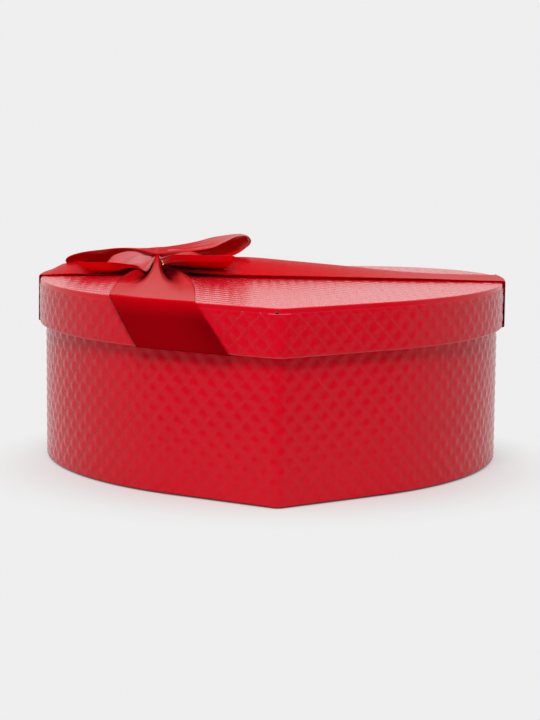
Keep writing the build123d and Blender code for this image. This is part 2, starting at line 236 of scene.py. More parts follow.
def studio_world():
    """Backdrop light that fades towards the camera's side of the room."""
    world = bpy.data.worlds.new("studio")
    world.use_nodes = True
    world.node_tree.nodes.clear()
    bench = Bench(world.node_tree)
    way = bench.add("ShaderNodeTexCoord").out("Generated")
    forward = bench.add("ShaderNodeSeparateXYZ", {}, {0: way}).out("Y")
    behind = bench.ease(forward, ROOM_END, BACKDROP_START)
    seen = bench.add("ShaderNodeLightPath").out("Is Diffuse Ray")
    looked_at = ROOM + behind * (BACKDROP - ROOM)
    lighting = FILL + behind * (DOME - FILL)
    strength = looked_at + seen * (lighting - looked_at)
    light = bench.add("ShaderNodeBackground", {}, {"Color": WHITE, "Strength": strength})
    bench.add("ShaderNodeOutputWorld", {}, {"Surface": light})
    scene.world = world


def studio_floor():
    """Pale floor that keeps the shadow near the box and runs into the backdrop further off."""
    mesh = bpy.data.meshes.new("floor")
    half = FLOOR_SIZE / 2
    corners = [(-half, -half, 0), (half, -half, 0), (half, half, 0), (-half, half, 0)]
    mesh.from_pydata(corners, [], [(0, 1, 2, 3)])
    floor = bpy.data.objects.new("floor", mesh)
    scene.collection.objects.link(floor)
    material, bench = new_finish("pale floor")
    place = bench.add("ShaderNodeTexCoord").out("Object")
    away = bench.add("ShaderNodeVectorMath", {"operation": "LENGTH"}, {0: place}).out("Value")
    far = bench.ease(away, FLOOR_NEAR, FLOOR_FAR)
    seen = bench.add("ShaderNodeLightPath")
    looked_at = seen.out("Is Camera Ray").math("MAXIMUM", seen.out("Is Glossy Ray"))
    looked_at = looked_at.math("MAXIMUM", seen.out("Is Transmission Ray"))
    forward = bench.add("ShaderNodeSeparateXYZ", {}, {0: place}).out("Y")
    front = bench.add("ShaderNodeMapRange", {}, {0: forward, 1: MIRRORED_NEAR, 2: MIRRORED_FAR})
    strength = BACKDROP * (1 - seen.out("Is Glossy Ray") * front * MIRRORED_DARK)
    colour = bench.mix(seen.out("Is Diffuse Ray"), FLOOR_COLOUR, FLOOR_BOUNCE)
    lit = bench.add("ShaderNodeBsdfDiffuse", {}, {"Color": colour})
    pale = bench.add("ShaderNodeEmission", {}, {"Color": WHITE, "Strength": strength})
    bench.show(bench.add("ShaderNodeMixShader", {}, {0: far * looked_at, 1: lit, 2: pale}))
    mesh.materials.append(material)


def soft_lamp(name, place, size, power):
    lamp = bpy.data.objects.new(name, bpy.data.lights.new(name, "AREA"))
    lamp.data.size = size
    lamp.data.energy = power
    lamp.location = Vector(place) * MM
    lamp.rotation_euler = (-lamp.location).to_track_quat("-Z", "Y").to_euler()
    scene.collection.objects.link(lamp)
    print(name, "is", round(lamp.location.length, 2), "m away")


studio_world()
studio_floor()
soft_lamp("overhead lamp", LAMP_PLACE, LAMP_SIZE, LAMP_POWER)

# %% [markdown]
# ## Heart outline
# Every layer of the box follows one heart: a round tip, two straight sides, two side arcs and two lobes,
# each tangent to the next. `heart` gives plan points on it from a length along the outline, which starts
# and ends at the cleft, and a distance outwards, so papers and ribbons can be wrapped round the box.

# %% Heart outline
BOX_WIDTH = 290.0
BOX_DEPTH = 280.0
CLEFT_DEPTH = 35.5
TIP_HALF_ANGLE = math.radians(57)
TIP_RADIUS = 6.0
STRAIGHT_SIDE = 70.0
LID_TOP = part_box("lid_top_paper")[1].z / MM

lobe_radius = BOX_WIDTH / 2 + CLEFT_DEPTH - math.sqrt(BOX_WIDTH * CLEFT_DEPTH)
lobe_centre = np.array([BOX_WIDTH / 2 - lobe_radius, BOX_DEPTH / 2 - lobe_radius])
tip_centre = np.array([0, TIP_RADIUS - BOX_DEPTH / 2])
side_run = np.array([math.sin(TIP_HALF_ANGLE), math.cos(TIP_HALF_ANGLE)])
side_normal = np.array([math.cos(TIP_HALF_ANGLE), -math.sin(TIP_HALF_ANGLE)])
from_lobe = tip_centre + side_normal * TIP_RADIUS + side_run * STRAIGHT_SIDE - lobe_centre
side_gap = lobe_radius - side_normal @ from_lobe
side_radius = (lobe_radius**2 - from_lobe @ from_lobe) / (2 * side_gap)
side_centre = lobe_centre + from_lobe - side_normal * side_radius
side_end_angle = math.atan2(*(lobe_centre - side_centre)[::-1])
side_turn = TIP_HALF_ANGLE
tip_turn = math.pi / 2 - TIP_HALF_ANGLE


def cleft_angle(offset):
    """Direction from a lobe's centre to the cleft, on the outline that far out from the base."""
    return np.arccos(-lobe_centre[0] / (lobe_radius + offset))


def runs(offset):
    """Lengths of a lobe, a side arc, a straight side and half the tip, on that same outline."""
    lobe = (lobe_radius + offset) * (cleft_angle(offset) - side_end_angle)
    side = (side_radius + offset) * (side_end_angle + side_turn)
    tip = (TIP_RADIUS + offset) * tip_turn
    return np.array([lobe, side, STRAIGHT_SIDE, tip])


def heart_length(offset):
    return 2 * runs(offset).sum()


def heart(along, offset, measured_at):
    """Plan points and outward directions, along mm from the cleft round by the left side and the tip.
    The length is measured on the outline that lies measured_at mm outside the base."""
    along, offset = np.broadcast_arrays(np.asarray(along, float), np.asarray(offset, float))
    lobe, side, straight, tip = runs(measured_at)
    total = heart_length(measured_at)
    run = np.minimum(along, total - along)
    on_lobe = np.clip(run / lobe, 0, 1)
    on_side = np.clip((run - lobe) / side, 0, 1)
    on_straight = np.clip(run - lobe - side, 0, straight)
    on_tip = np.clip((run - lobe - side - straight) / tip, 0, 1)
    sweep = cleft_angle(offset) + (side_end_angle - cleft_angle(offset)) * on_lobe
    sweep = sweep - (side_end_angle + side_turn) * on_side - tip_turn * on_tip
    out = np.stack([np.cos(sweep), np.sin(sweep)], -1)
    reach = offset[..., None]
    lobe_point = lobe_centre + out * (lobe_radius + reach)
    side_point = side_centre + out * (side_radius + reach)
    tip_point = tip_centre + out * (TIP_RADIUS + reach)
    tip_point = tip_point + side_run * (straight - on_straight)[..., None]
    point = np.where((run < lobe)[..., None], lobe_point, side_point)
    point = np.where((run > lobe + side)[..., None], tip_point, point)
    mirror = np.where(along < total / 2, -1.0, 1.0)
    point[..., 0] *= mirror
    out[..., 0] *= mirror
    return point, out


print("outline of the base is", round(heart_length(0), 1), "mm round")

# %% [markdown]
# ## Papers over edges
# Paper turns over the rims with a small round. A profile is that path seen end-on: how far out from the
# base outline, and how high. It is drawn as a few corners with radii, and read by length.


# %% Profiles
ROUND_STEPS = 6
NORMAL_REACH = 0.2


class Profile:
    """A path over the edges of the box, from corners of (distance out, height, radius)."""

    def __init__(self, corners):
        points = [np.array(corners[0][:2])]
        ends = [0]
        for before, corner, after in zip(corners, corners[1:], corners[2:]):
            points += self.rounded(*(np.array(c[:2]) for c in (before, corner, after)), corner[2])
            ends.append(len(points) - 1)
        points.append(np.array(corners[-1][:2]))
        self.points = np.array(points)
        steps = np.linalg.norm(np.diff(self.points, axis=0), axis=1)
        self.lengths = np.concatenate([[0], np.cumsum(steps)])
        self.length = self.lengths[-1]
        self.flats = [(self.lengths[end], self.lengths[end + 1]) for end in ends]

    @staticmethod
    def rounded(before, corner, after, radius):
        """Points of the round at one corner."""
        if radius == 0:
            return [corner]
        come = (corner - before) / np.linalg.norm(corner - before)
        leave = (after - corner) / np.linalg.norm(after - corner)
        half_turn = math.acos(np.clip(come @ leave, -1, 1)) / 2
        towards = (leave - come) / np.linalg.norm(leave - come)
        centre = corner + towards * (radius / math.cos(half_turn))
        middle = np.arctan2(*(-towards)[::-1])
        turn = np.sign(come[0] * leave[1] - come[1] * leave[0])
        angles = middle + turn * np.linspace(-half_turn, half_turn, ROUND_STEPS)
        return [centre + radius * np.array([math.cos(a), math.sin(a)]) for a in angles]

    def at(self, along):
        """Distance out, height, and the two parts of the outward normal."""
        out, high = self.read(along)
        ahead_out, ahead_high = self.read(along + NORMAL_REACH)
        behind_out, behind_high = self.read(along - NORMAL_REACH)
        run_out = ahead_out - behind_out
        run_up = ahead_high - behind_high
        size = np.hypot(run_out, run_up)
        return out, high, run_up / size, -run_out / size

    def read(self, along):
        return [np.interp(along, self.lengths, self.points[:, k]) for k in (0, 1)]


# %% [markdown]
# ## Embossed paper
# A steel roller presses diamonds into the paper while it is flat: each diamond is a small cushion, and
# two fine ridges run side by side between the rows. A bump map would fade at the glancing angle of
# the lid, so the cushions are real. A Geometry Nodes tree makes a grid that is turned to the diagonals,
# trims it to a strip and lifts a cushion in each diamond. It also stores how many diamonds away each
# point is, and from that the finish draws the ridges, which are finer than the grid. The flat strip is
# then bent round the box by a profile, as the wrapping machine does.

# %% Embossing tree
DIAMOND = 11.8
DIAMOND_STEPS = 7
CUSHION_HEIGHT = 0.5
MID_DIAMOND = 0.5
NONE_INSIDE = 0.01

# Length over which the relief fades at a fold, and the columns of a smooth band
FOLD_EASE = 0.8
BAND_STEP = 1.0

# Slits in a band: depth at which they start, width there, spread below, and how far the paper gives way
SLIT_START = 0.9
SLIT_WIDTH = 1.0
SLIT_SPREAD = 0.3
SLIT_EASE = 7.0


def embossing_tree():
    """Flat embossed strip with its corner at the origin. Gives the tree and its inputs' identifiers."""
    tree = bpy.data.node_groups.new("diamond embossing", "GeometryNodeTree")
    tree.is_modifier = True
    sockets = tree.interface
    names = ["Width", "Height", "Diamond", "Steps", "Shift", "Cushion Height"]
    kinds = {name: "NodeSocketFloat" for name in names}
    kinds["Paper"] = "NodeSocketMaterial"
    keys = {}
    for name, kind in kinds.items():
        keys[name] = sockets.new_socket(name, in_out="INPUT", socket_type=kind).identifier
    sockets.new_socket("Strip", in_out="OUTPUT", socket_type="NodeSocketGeometry")
    bench = Bench(tree)
    given = bench.add("NodeGroupInput")
    width, height, diamond, steps, shift, cushion = (given.out(name) for name in names)

    # A square grid in units of diamonds, large enough to hold the strip along its diagonals, with a
    # diamond or two to spare. Counts are cut down to whole numbers, so half a line more is asked for
    spare = (width / diamond).math("CEIL") + 1
    cells = ((width + height) / diamond).math("CEIL") + 3
    count = cells * steps + 1.5
    sizes = {"Size X": cells, "Size Y": cells, "Vertices X": count, "Vertices Y": count}
    grid = bench.add("GeometryNodeMeshGrid", {}, sizes)
    place = bench.add("ShaderNodeSeparateXYZ", {}, {0: bench.add("GeometryNodeInputPosition")})
    across = place.out("X") + cells / 2 - 1
    up = place.out("Y") + cells / 2 - spare
    along = (across - up) * diamond / 2
    high = (across + up) * diamond / 2

    # Faces with no corner on the strip go, and the rest are drawn in to its edge
    inside = (along > 0) * (along < width) * (high > 0) * (high < height)
    marked = {"data_type": "FLOAT", "domain": "POINT"}
    value = {"Geometry": grid, "Name": "inside", "Value": inside}
    kept = bench.add("GeometryNodeStoreNamedAttribute", marked, value)
    share = bench.add("GeometryNodeInputNamedAttribute", {"data_type": "FLOAT"}, {"Name": "inside"})
    wasted = {"Geometry": kept, "Selection": share < NONE_INSIDE}
    kept = bench.add("GeometryNodeDeleteGeometry", {"domain": "FACE"}, wasted)
    kept = bench.add("GeometryNodeRemoveAttribute", {}, {"Geometry": kept, "Name": "inside"})

    # A cushion in each diamond. The finish draws the fine lines between them from the stored counts
    across = across + shift
    up = up - shift
    waves = (across * math.pi).math("SINE") * (up * math.pi).math("SINE")
    relief = waves.math("POWER", 2) * cushion
    for name, count in (("across", across), ("up", up)):
        value = {"Geometry": kept, "Name": name, "Value": count}
        kept = bench.add("GeometryNodeStoreNamedAttribute", marked, value)
    along = along.math("MAXIMUM", 0).math("MINIMUM", width)
    high = high.math("MAXIMUM", 0).math("MINIMUM", height)
    lifted = bench.add("ShaderNodeCombineXYZ", {}, {"X": along, "Y": high, "Z": relief})
    strip = bench.add("GeometryNodeSetPosition", {}, {"Geometry": kept, "Position": lifted})
    strip = bench.add("GeometryNodeSetShadeSmooth", {}, {"Geometry": strip})
    strip = bench.add("GeometryNodeRealizeInstances", {}, {"Geometry": strip})
    covered = {"Geometry": strip, "Material": given.out("Paper")}
    strip = bench.add("GeometryNodeSetMaterial", {}, covered)
    bench.add("NodeGroupOutput", {}, {"Strip": strip})
    return tree, keys


emboss_tree, emboss_keys = embossing_tree()


def plain_mesh(carrier, finish):
    """What an object comes to once its modifiers or its curve are worked out, with one finish."""
    graph = bpy.context.evaluated_depsgraph_get()
    mesh = bpy.data.meshes.new_from_object(carrier.evaluated_get(graph))
    mesh.materials.clear()
    mesh.materials.append(finish)
    mesh.polygons.foreach_set("material_index", [0] * len(mesh.polygons))
    return mesh


def embossed_sheet(name, width, height, shift, paper):
    """Flat embossed sheet as a plain mesh. X, Y and Z are a point's length, height and relief."""
    carrier = bpy.data.objects.new(name, bpy.data.meshes.new(name))
    scene.collection.objects.link(carrier)
    modifier = carrier.modifiers.new("diamond embossing", "NODES")
    modifier.node_group = emboss_tree
    values = [width, height, DIAMOND, float(DIAMOND_STEPS), shift, CUSHION_HEIGHT, paper]
    for key, value in zip(emboss_keys.values(), values):
        modifier[key] = value
    mesh = plain_mesh(carrier, paper)
    carrier.modifiers.remove(modifier)
    carrier.data = mesh
    mesh.name = name
    # Marks for the pale cut edge and for the painted shade at the foot
    for mark in ("cut_edge", "painted_foot_shade"):
        mesh.attributes.new(mark, "FLOAT", "POINT")
    return carrier


def mesh_points(mesh):
    points = np.empty(len(mesh.vertices) * 3)
    mesh.vertices.foreach_get("co", points)
    return points.reshape(-1, 3)


def set_mesh_points(mesh, points):
    mesh.vertices.foreach_set("co", (points * MM).astype(np.float32).ravel())
    mesh.update()


def embossed_wall(name, profile, flat, measured_at, shift, pressed):
    """Embossed paper round the heart, on one flat part of a profile. Its relief fades at the folds."""
    start, end = flat
    piece = embossed_sheet(name, heart_length(measured_at), end - start, shift, red_paper)
    along, high, relief = mesh_points(piece.data).T
    relief = relief * pressed * np.clip(np.minimum(high, end - start - high) / FOLD_EASE, 0, 1)
    out, height, out_part, up_part = profile.at(start + high)
    plan, _ = heart(along, out + relief * out_part, measured_at)
    set_mesh_points(piece.data, np.column_stack([plan, height + relief * up_part]))
    return piece


def opened(columns, depth, slits):
    """Where the columns of a slit band lie at a depth, once its slits have spread."""
    columns = columns.copy()
    if depth <= SLIT_START:
        return columns
    gap = SLIT_WIDTH / 2 + SLIT_SPREAD * (depth - SLIT_START)
    for slit in slits:
        aside = columns - slit
        near = np.abs(aside) < SLIT_EASE
        moved = gap + np.abs(aside[near]) * (1 - gap / SLIT_EASE)
        columns[near] = slit + np.sign(aside[near]) * moved
    return columns


def add_band(
    piece, profile, start, end, measured_at, columns=None, slits=(), cut=0.0, painted_shade_to=0.0
):
    """Adds a smooth band of paper to a piece: the part of a profile between two lengths. cut is how
    much of the pale core shows, and the rows that come before the length given last get painted shade."""
    if columns is None:
        total = heart_length(measured_at)
        columns = np.linspace(0, total, int(total / BAND_STEP))
    inner = profile.lengths[(profile.lengths > start) & (profile.lengths < end)]
    rows = np.concatenate([[start], inner, [end]])
    out, height, _, _ = profile.at(rows)
    work = bmesh.new()
    work.from_mesh(piece.data)
    layers = work.verts.layers.float
    marks = {layers["cut_edge"]: cut, layers["across"]: MID_DIAMOND, layers["up"]: MID_DIAMOND}
    grid = []
    for row, row_out, row_height in zip(rows, out, height):
        plan, _ = heart(opened(columns, row - start, slits), row_out, measured_at)
        grid.append([work.verts.new((x * MM, y * MM, row_height * MM)) for x, y in plan])
        marks[layers["painted_foot_shade"]] = float(row < painted_shade_to)
        for vert in grid[-1]:
            for layer, mark in marks.items():
                vert[layer] = mark
    for upper, lower, row in zip(grid, grid[1:], rows):
        for k in range(len(columns) - 1):
            slit_here = any(columns[k] < slit < columns[k + 1] for slit in slits)
            if row - start <= SLIT_START or not slit_here:
                work.faces.new((upper[k], upper[k + 1], lower[k + 1], lower[k])).smooth = True
    work.to_mesh(piece.data)
    work.free()
    piece.data.update()


# %% [markdown]
# ### The paper's finish
# The paper is dyed through and varnished: a clean red that is cloudy from place to place, with a painted
# highlight on the ridges and painted shade in the furrow between two of them, and the fine tooth of paper
# under the varnish. A cut edge is pale, and the round of the foot, which sees only the floor, gets
# painted shade. The mesh says where each of these is, so the finish only has to mix colours by what it
# reads there.

# %% Paper finish
# Colours: red, deeper red, painted highlight on the ridges, painted shade in the furrow, pale cut edge,
# painted shade at the foot
PAPER_RED = (0.93, 0.0012, 0.0200, 1)
PAPER_DEEP = (0.86, 0.0006, 0.0160, 1)
PAPER_RIDGE_HIGHLIGHT = (0.95, 0.05, 0.07, 1)
PAPER_FURROW_SHADE = (0.50, 0.0003, 0.0080, 1)
PAPER_CORE = (0.86, 0.42, 0.42, 1)
PAPER_PAINTED_SHADE = (0.03, 0.0010, 0.0020, 1)
PAPER_IOR = 1.28

# Ridges and furrow, in diamonds from the border of each diamond, and how much their painted highlight and
# painted shade show
LINE_ASIDE = 0.05
LINE_HALF = 0.022
LINE_SHARE = 0.32
FURROW_HALF = 0.03
FURROW_SHARE = 0.3

# Sizes of the cloudy dye and of the paper's tooth, then roughness and relief
CLOUD_SCALE = 45.0
TOOTH_SCALE = 1600.0
PAPER_ROUGH = 0.12
ROUGH_VARIES = 0.04
CUT_ROUGH = 0.3
TOOTH_HEIGHT = 0.05
LINE_BUMP = 0.6
LINE_HEIGHT = 0.0002


def red_paper_finish(name):
    material, bench = new_finish(name)
    place = bench.add("ShaderNodeTexCoord").out("Object")
    cloud = bench.noise(place, CLOUD_SCALE, 3.0)
    tooth = bench.noise(place, TOOTH_SCALE, 2.0)
    cut = bench.mark("cut_edge")

    def band(aside, half):
        """Share of a line that runs that far from the border of each diamond."""
        shares = []
        for count in (bench.mark("across"), bench.mark("up")):
            from_line = (count.math("PINGPONG", MID_DIAMOND) - aside).math("ABSOLUTE")
            shares.append((1 - from_line / half).math("MAXIMUM", 0))
        return shares[0].math("MAXIMUM", shares[1])

    lines = band(LINE_ASIDE, LINE_HALF)
    colour = bench.mix(cloud, PAPER_DEEP, PAPER_RED)
    # Painted highlight on the ridges, then painted shade in the furrow
    colour = bench.mix(lines * LINE_SHARE, colour, PAPER_RIDGE_HIGHLIGHT)
    colour = bench.mix(band(0.0, FURROW_HALF) * FURROW_SHARE, colour, PAPER_FURROW_SHADE)
    colour = bench.mix(cut, colour, PAPER_CORE)
    # Painted shade on the round of the foot, mixed in by its mark
    colour = bench.mix(bench.mark("painted_foot_shade"), colour, PAPER_PAINTED_SHADE)
    roughness = PAPER_ROUGH + cloud * ROUGH_VARIES + tooth * ROUGH_VARIES + cut * CUT_ROUGH
    bump = bench.bump(LINE_BUMP, LINE_HEIGHT, tooth * TOOTH_HEIGHT + lines)
    inputs = {"Base Color": colour, "Roughness": roughness, "Normal": bump, "IOR": PAPER_IOR}
    bench.show(bench.add("ShaderNodeBsdfPrincipled", {}, inputs))
    print(name, "has", len(material.node_tree.nodes), "nodes")
    return material


red_paper = red_paper_finish("embossed red paper")

# %% [markdown]
# ### Base wrap
# One strip goes under the floor, up the wall, over the rim and down the inside. Its flat parts carry the
# diamonds, and smooth bands carry it round the folds, where the pressing is pulled out of the paper.

# %% Base wrap
BASE_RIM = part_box("base_wrap_paper")[1].z / MM
BASE_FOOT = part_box("base_wrap_paper")[0].z / MM
BASE_OUT = 0.0
BASE_FOLD = 0.9
BASE_SHIFT = 0.3
BASE_PRESSED = 0.85
WALL_DEPTH = 2.7
TURNED_UNDER = 5.0
TURNED_IN = 20.0
BAND_LAP = 0.3
base_profile = Profile(
    [
        (-TURNED_UNDER, BASE_FOOT, 0),
        (BASE_OUT, BASE_FOOT, BASE_FOLD),
        (BASE_OUT, BASE_RIM, BASE_FOLD),
        (-WALL_DEPTH, BASE_RIM, BASE_FOLD),
        (-WALL_DEPTH, BASE_RIM - TURNED_IN, 0),
    ]
)
_, wall, _, inside = base_profile.flats
base_wrap = embossed_wall("base_wrap", base_profile, wall, BASE_OUT, BASE_SHIFT, BASE_PRESSED)
# The round of the foot gets painted shade
add_band(base_wrap, base_profile, 0, wall[0] + BAND_LAP, BASE_OUT, painted_shade_to=wall[0])
add_band(base_wrap, base_profile, wall[1] - BAND_LAP, inside[0] + BAND_LAP, BASE_OUT)
base_turn_in = embossed_wall("base_turn_in", base_profile, inside, BASE_OUT, BASE_SHIFT, 1.0)
print("base wrap", len(base_wrap.data.polygons), "faces")

# %% [markdown]
# ### Lid skirt paper
# The strip round the skirt starts inside, turns round the lower rim and stops short of the top. Its raw
# edge shows as a thin line, palest at the tip, where it is rubbed most. It is glued hard to the board,
# so its diamonds are pressed a little flatter than the wall's.

# %% Lid skirt paper
LID_INSIDE = 1.0
TURN_DOWN_OUT = 3.7
LID_OUTSIDE = 4.05
SKIRT_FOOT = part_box("lid_skirt_paper")[0].z / MM
SKIRT_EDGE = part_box("lid_skirt_paper")[1].z / MM
SKIRT_TURNED_IN = 21.0
SKIRT_FOLD = 0.7
SKIRT_SHIFT = 0.55
SKIRT_PRESSED = 0.75

# How much of the pale core shows at the rim, on the raw edge and at the rubbed tip of that edge
RIM_RUBBED = 0.12
EDGE_RUBBED = 0.2
TIP_RUBBED = 0.4
TIP_RUB_HALF = 6.5
TIP_RUB_DEPTH = 0.4
TIP_RUB_COLUMNS = 14
PROUD = 0.12
skirt_profile = Profile(
    [
        (LID_INSIDE, SKIRT_FOOT + SKIRT_TURNED_IN, 0),
        (LID_INSIDE, SKIRT_FOOT, SKIRT_FOLD),
        (LID_OUTSIDE, SKIRT_FOOT, SKIRT_FOLD),
        (LID_OUTSIDE, SKIRT_EDGE, 0),
        (TURN_DOWN_OUT, SKIRT_EDGE, 0),
    ]
)
_, rim, outside, raw_edge = skirt_profile.flats
skirt_paper = embossed_wall(
    "lid_skirt_wrap", skirt_profile, outside, LID_OUTSIDE, SKIRT_SHIFT, SKIRT_PRESSED
)
add_band(skirt_paper, skirt_profile, 0, rim[1], LID_OUTSIDE)
add_band(skirt_paper, skirt_profile, rim[1], outside[0] + BAND_LAP, LID_OUTSIDE, cut=RIM_RUBBED)
add_band(skirt_paper, skirt_profile, *raw_edge, LID_OUTSIDE, cut=EDGE_RUBBED)
rub_out = LID_OUTSIDE + PROUD
rubbed = Profile([(rub_out, SKIRT_EDGE - TIP_RUB_DEPTH, 0), (rub_out, SKIRT_EDGE, 0)])
at_tip = heart_length(LID_OUTSIDE) / 2 + np.linspace(-TIP_RUB_HALF, TIP_RUB_HALF, TIP_RUB_COLUMNS)
add_band(skirt_paper, rubbed, 0, rubbed.length, LID_OUTSIDE, at_tip, cut=TIP_RUBBED)
print("skirt paper", len(skirt_paper.data.polygons), "faces")

# %% [markdown]
# ### Lid top sheet
# The top sheet is embossed flat, trimmed to the heart, and turned down round the edge. Paper can't
# stretch round a curve, so its margin is slit, and the slits show as small notches above the skirt
# paper. A strip of paper behind each slit stands for the layer that is glued on below.

# %% Lid top sheet
FOLD_RADIUS = 0.8
TURN_DOWN_END = 100.0
BELOW_EDGE = 1.0
FLAT_MARGIN = 2.5
PRESSED = 0.4
FLAT_EDGE = TURN_DOWN_OUT - FOLD_RADIUS
RIM_POINTS = 4000

# Slits, in degrees from the centre of a lobe or a side arc, and columns of the margin just beside each
TIP_SLIT_ASIDE = -1.4
LOBE_SLITS = [20.0, 55.0, 90.0, 125.0]
SIDE_SLITS = [-9.0]
BESIDE_SLIT = 0.01

# Paper behind a slit: how far behind the margin, its depths below the top, and its half width
BEHIND_MARGIN = 0.12
BEHIND_TOP = 0.3
BEHIND_DEPTH = 3.2
BEHIND_TIP_DEPTH = 2.1
BEHIND_HALF = 3.0
NEAR_TIP = 5.0


def slit_places(measured_at):
    """Lengths along the outline at which the turned-down margin is slit."""
    lobe, side, _, _ = runs(measured_at)
    total = heart_length(measured_at)
    places = []
    for angle in LOBE_SLITS:
        turn = cleft_angle(measured_at) - math.radians(angle)
        places.append(turn * (lobe_radius + measured_at))
    for angle in SIDE_SLITS:
        turn = side_end_angle - math.radians(angle)
        places.append(lobe + turn * (side_radius + measured_at))
    return np.array(places + [total / 2 + TIP_SLIT_ASIDE] + [total - place for place in places])


def lid_top_sheet():
    spare = 4 * LID_OUTSIDE
    width = BOX_WIDTH + spare
    depth = BOX_DEPTH + spare
    piece = embossed_sheet("lid_top_sheet", width, depth, 0.0, red_paper)
    points = mesh_points(piece.data) - np.array([width / 2, depth / 2, 0])
    lengths = np.linspace(0, heart_length(FLAT_EDGE), RIM_POINTS)
    rim, rim_out = heart(lengths, FLAT_EDGE, FLAT_EDGE)
    tree = KDTree(len(rim))
    for i, spot in enumerate(rim):
        tree.insert((*spot, 0), i)
    tree.balance()
    nearest = np.array([tree.find((x, y, 0))[1] for x, y, _ in points])
    outside = np.einsum("ij,ij->i", points[:, :2] - rim[nearest], rim_out[nearest])
    beyond = outside >= 0
    points[:, 2] = LID_TOP + points[:, 2] * PRESSED * np.clip(-outside / FLAT_MARGIN, 0, 1)
    points[beyond, :2] = rim[nearest[beyond]]
    set_mesh_points(piece.data, points)
    work = bmesh.new()
    work.from_mesh(piece.data)
    work.verts.ensure_lookup_table()
    wasted = [face for face in work.faces if all(beyond[v.index] for v in face.verts)]
    bmesh.ops.delete(work, geom=wasted, context="FACES")
    work.to_mesh(piece.data)
    work.free()
    slits = slit_places(FLAT_EDGE)
    total = heart_length(FLAT_EDGE)
    columns = np.linspace(0, total, int(total / BAND_STEP))
    columns = np.sort(np.concatenate([columns, slits - BESIDE_SLIT, slits + BESIDE_SLIT]))
    corners = [
        (FLAT_EDGE - BAND_LAP, LID_TOP, 0),
        (TURN_DOWN_OUT, LID_TOP, FOLD_RADIUS),
        (TURN_DOWN_OUT, SKIRT_EDGE - BELOW_EDGE, 0),
        (TURN_DOWN_OUT, TURN_DOWN_END, 0),
    ]
    turn = Profile(corners)
    add_band(piece, turn, 0, turn.length, FLAT_EDGE, columns, slits)
    behind_out = TURN_DOWN_OUT - BEHIND_MARGIN
    beside = np.linspace(-BEHIND_HALF, BEHIND_HALF, 7)
    for slit in slits:
        shown = BEHIND_TIP_DEPTH if abs(slit - total / 2) < NEAR_TIP else BEHIND_DEPTH
        under = Profile([(behind_out, LID_TOP - BEHIND_TOP, 0), (behind_out, LID_TOP - shown, 0)])
        add_band(piece, under, 0, under.length, FLAT_EDGE, slit + beside)
    print("lid top sheet", len(piece.data.polygons), "faces,", len(slits), "slits")
    return piece


lid_top = lid_top_sheet()
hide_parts("base_wrap_paper")
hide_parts("lid_skirt_paper")
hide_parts("lid_top_paper")
for piece in (base_wrap, base_turn_in):
    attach(piece, "base")
for piece in (skirt_paper, lid_top):
    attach(piece, "lid")

# %% [markdown]
# ## Satin ribbons
# The ribbon is 50 mm satin: glossy along its length, with a narrow woven edge on each side. Each length
# of it is one sheet, given as rows of points. A cloth simulation would crumple it by chance, and every
# fold has its place here, so a few rows are given, a smooth curve is run through them both ways, and
# the sheet then gets its thickness. Each point also keeps three marks for the finish: how much painted
# shade it gets, how much painted sheen with a coat of gloss, and how matt it is crumpled.

# %% Ribbon helpers
RIBBON_WIDTH = 50.0
RIBBON_THICK = 0.35
KNOT = np.array([-75.0, 71.0])
CLEAR = 0.02
SIDE_CLEAR = 0.35
LIFT = CUSHION_HEIGHT + RIBBON_THICK / 2 + CLEAR
SIDE_LIFT = LIFT + SIDE_CLEAR

# Painted shade on satin that hangs down the skirt, and the drop over which it comes in
HANGING_SHADE = 0.46
HANGING_EASE = 10.0


def clamp(value):
    return np.clip(value, 0, 1)


def hanging_share(grid):
    """1 where the ribbon hangs down the skirt, and 0 on the lid."""
    return clamp((LID_TOP - grid[..., 2]) / HANGING_EASE)


def spline(values, at):
    """Smooth curve through values, read at places counted from the first one."""
    values = np.asarray(values, float)
    at = np.clip(np.asarray(at, float), 0, len(values) - 1)
    padded = np.concatenate([[2 * values[0] - values[1]], values, [2 * values[-1] - values[-2]]])
    k = np.minimum(at.astype(int), len(values) - 2)
    t = (at - k).reshape(at.shape + (1,) * (values.ndim - 1))
    a, b, c, d = (padded[k + i] for i in range(4))
    return b + t / 2 * (c - a + t * (2 * a - 5 * b + 4 * c - d + t * (3 * (b - c) + d - a)))


def curve(stations, values, at):
    """Smooth curve through values at stations."""
    return spline(values, np.interp(at, stations, np.arange(len(stations))))


def smooth_cage(cage, rows, columns, closed=False):
    """Grid of points on the smooth surface through a cage of points."""
    cage = np.asarray(cage, float)
    at = np.linspace(0, len(cage) - 1, rows)
    if closed:
        at = 3 + np.linspace(0, len(cage), rows, endpoint=False)
        cage = np.concatenate([cage[-3:], cage, cage[:4]])
    along = spline(cage, at).swapaxes(0, 1)
    return spline(along, np.linspace(0, len(along) - 1, columns)).swapaxes(0, 1)


def face_corners(grid):
    """The four corners of each face of a grid, in order."""
    return np.stack([grid[:-1, :-1], grid[:-1, 1:], grid[1:, 1:], grid[1:, :-1]], 2)


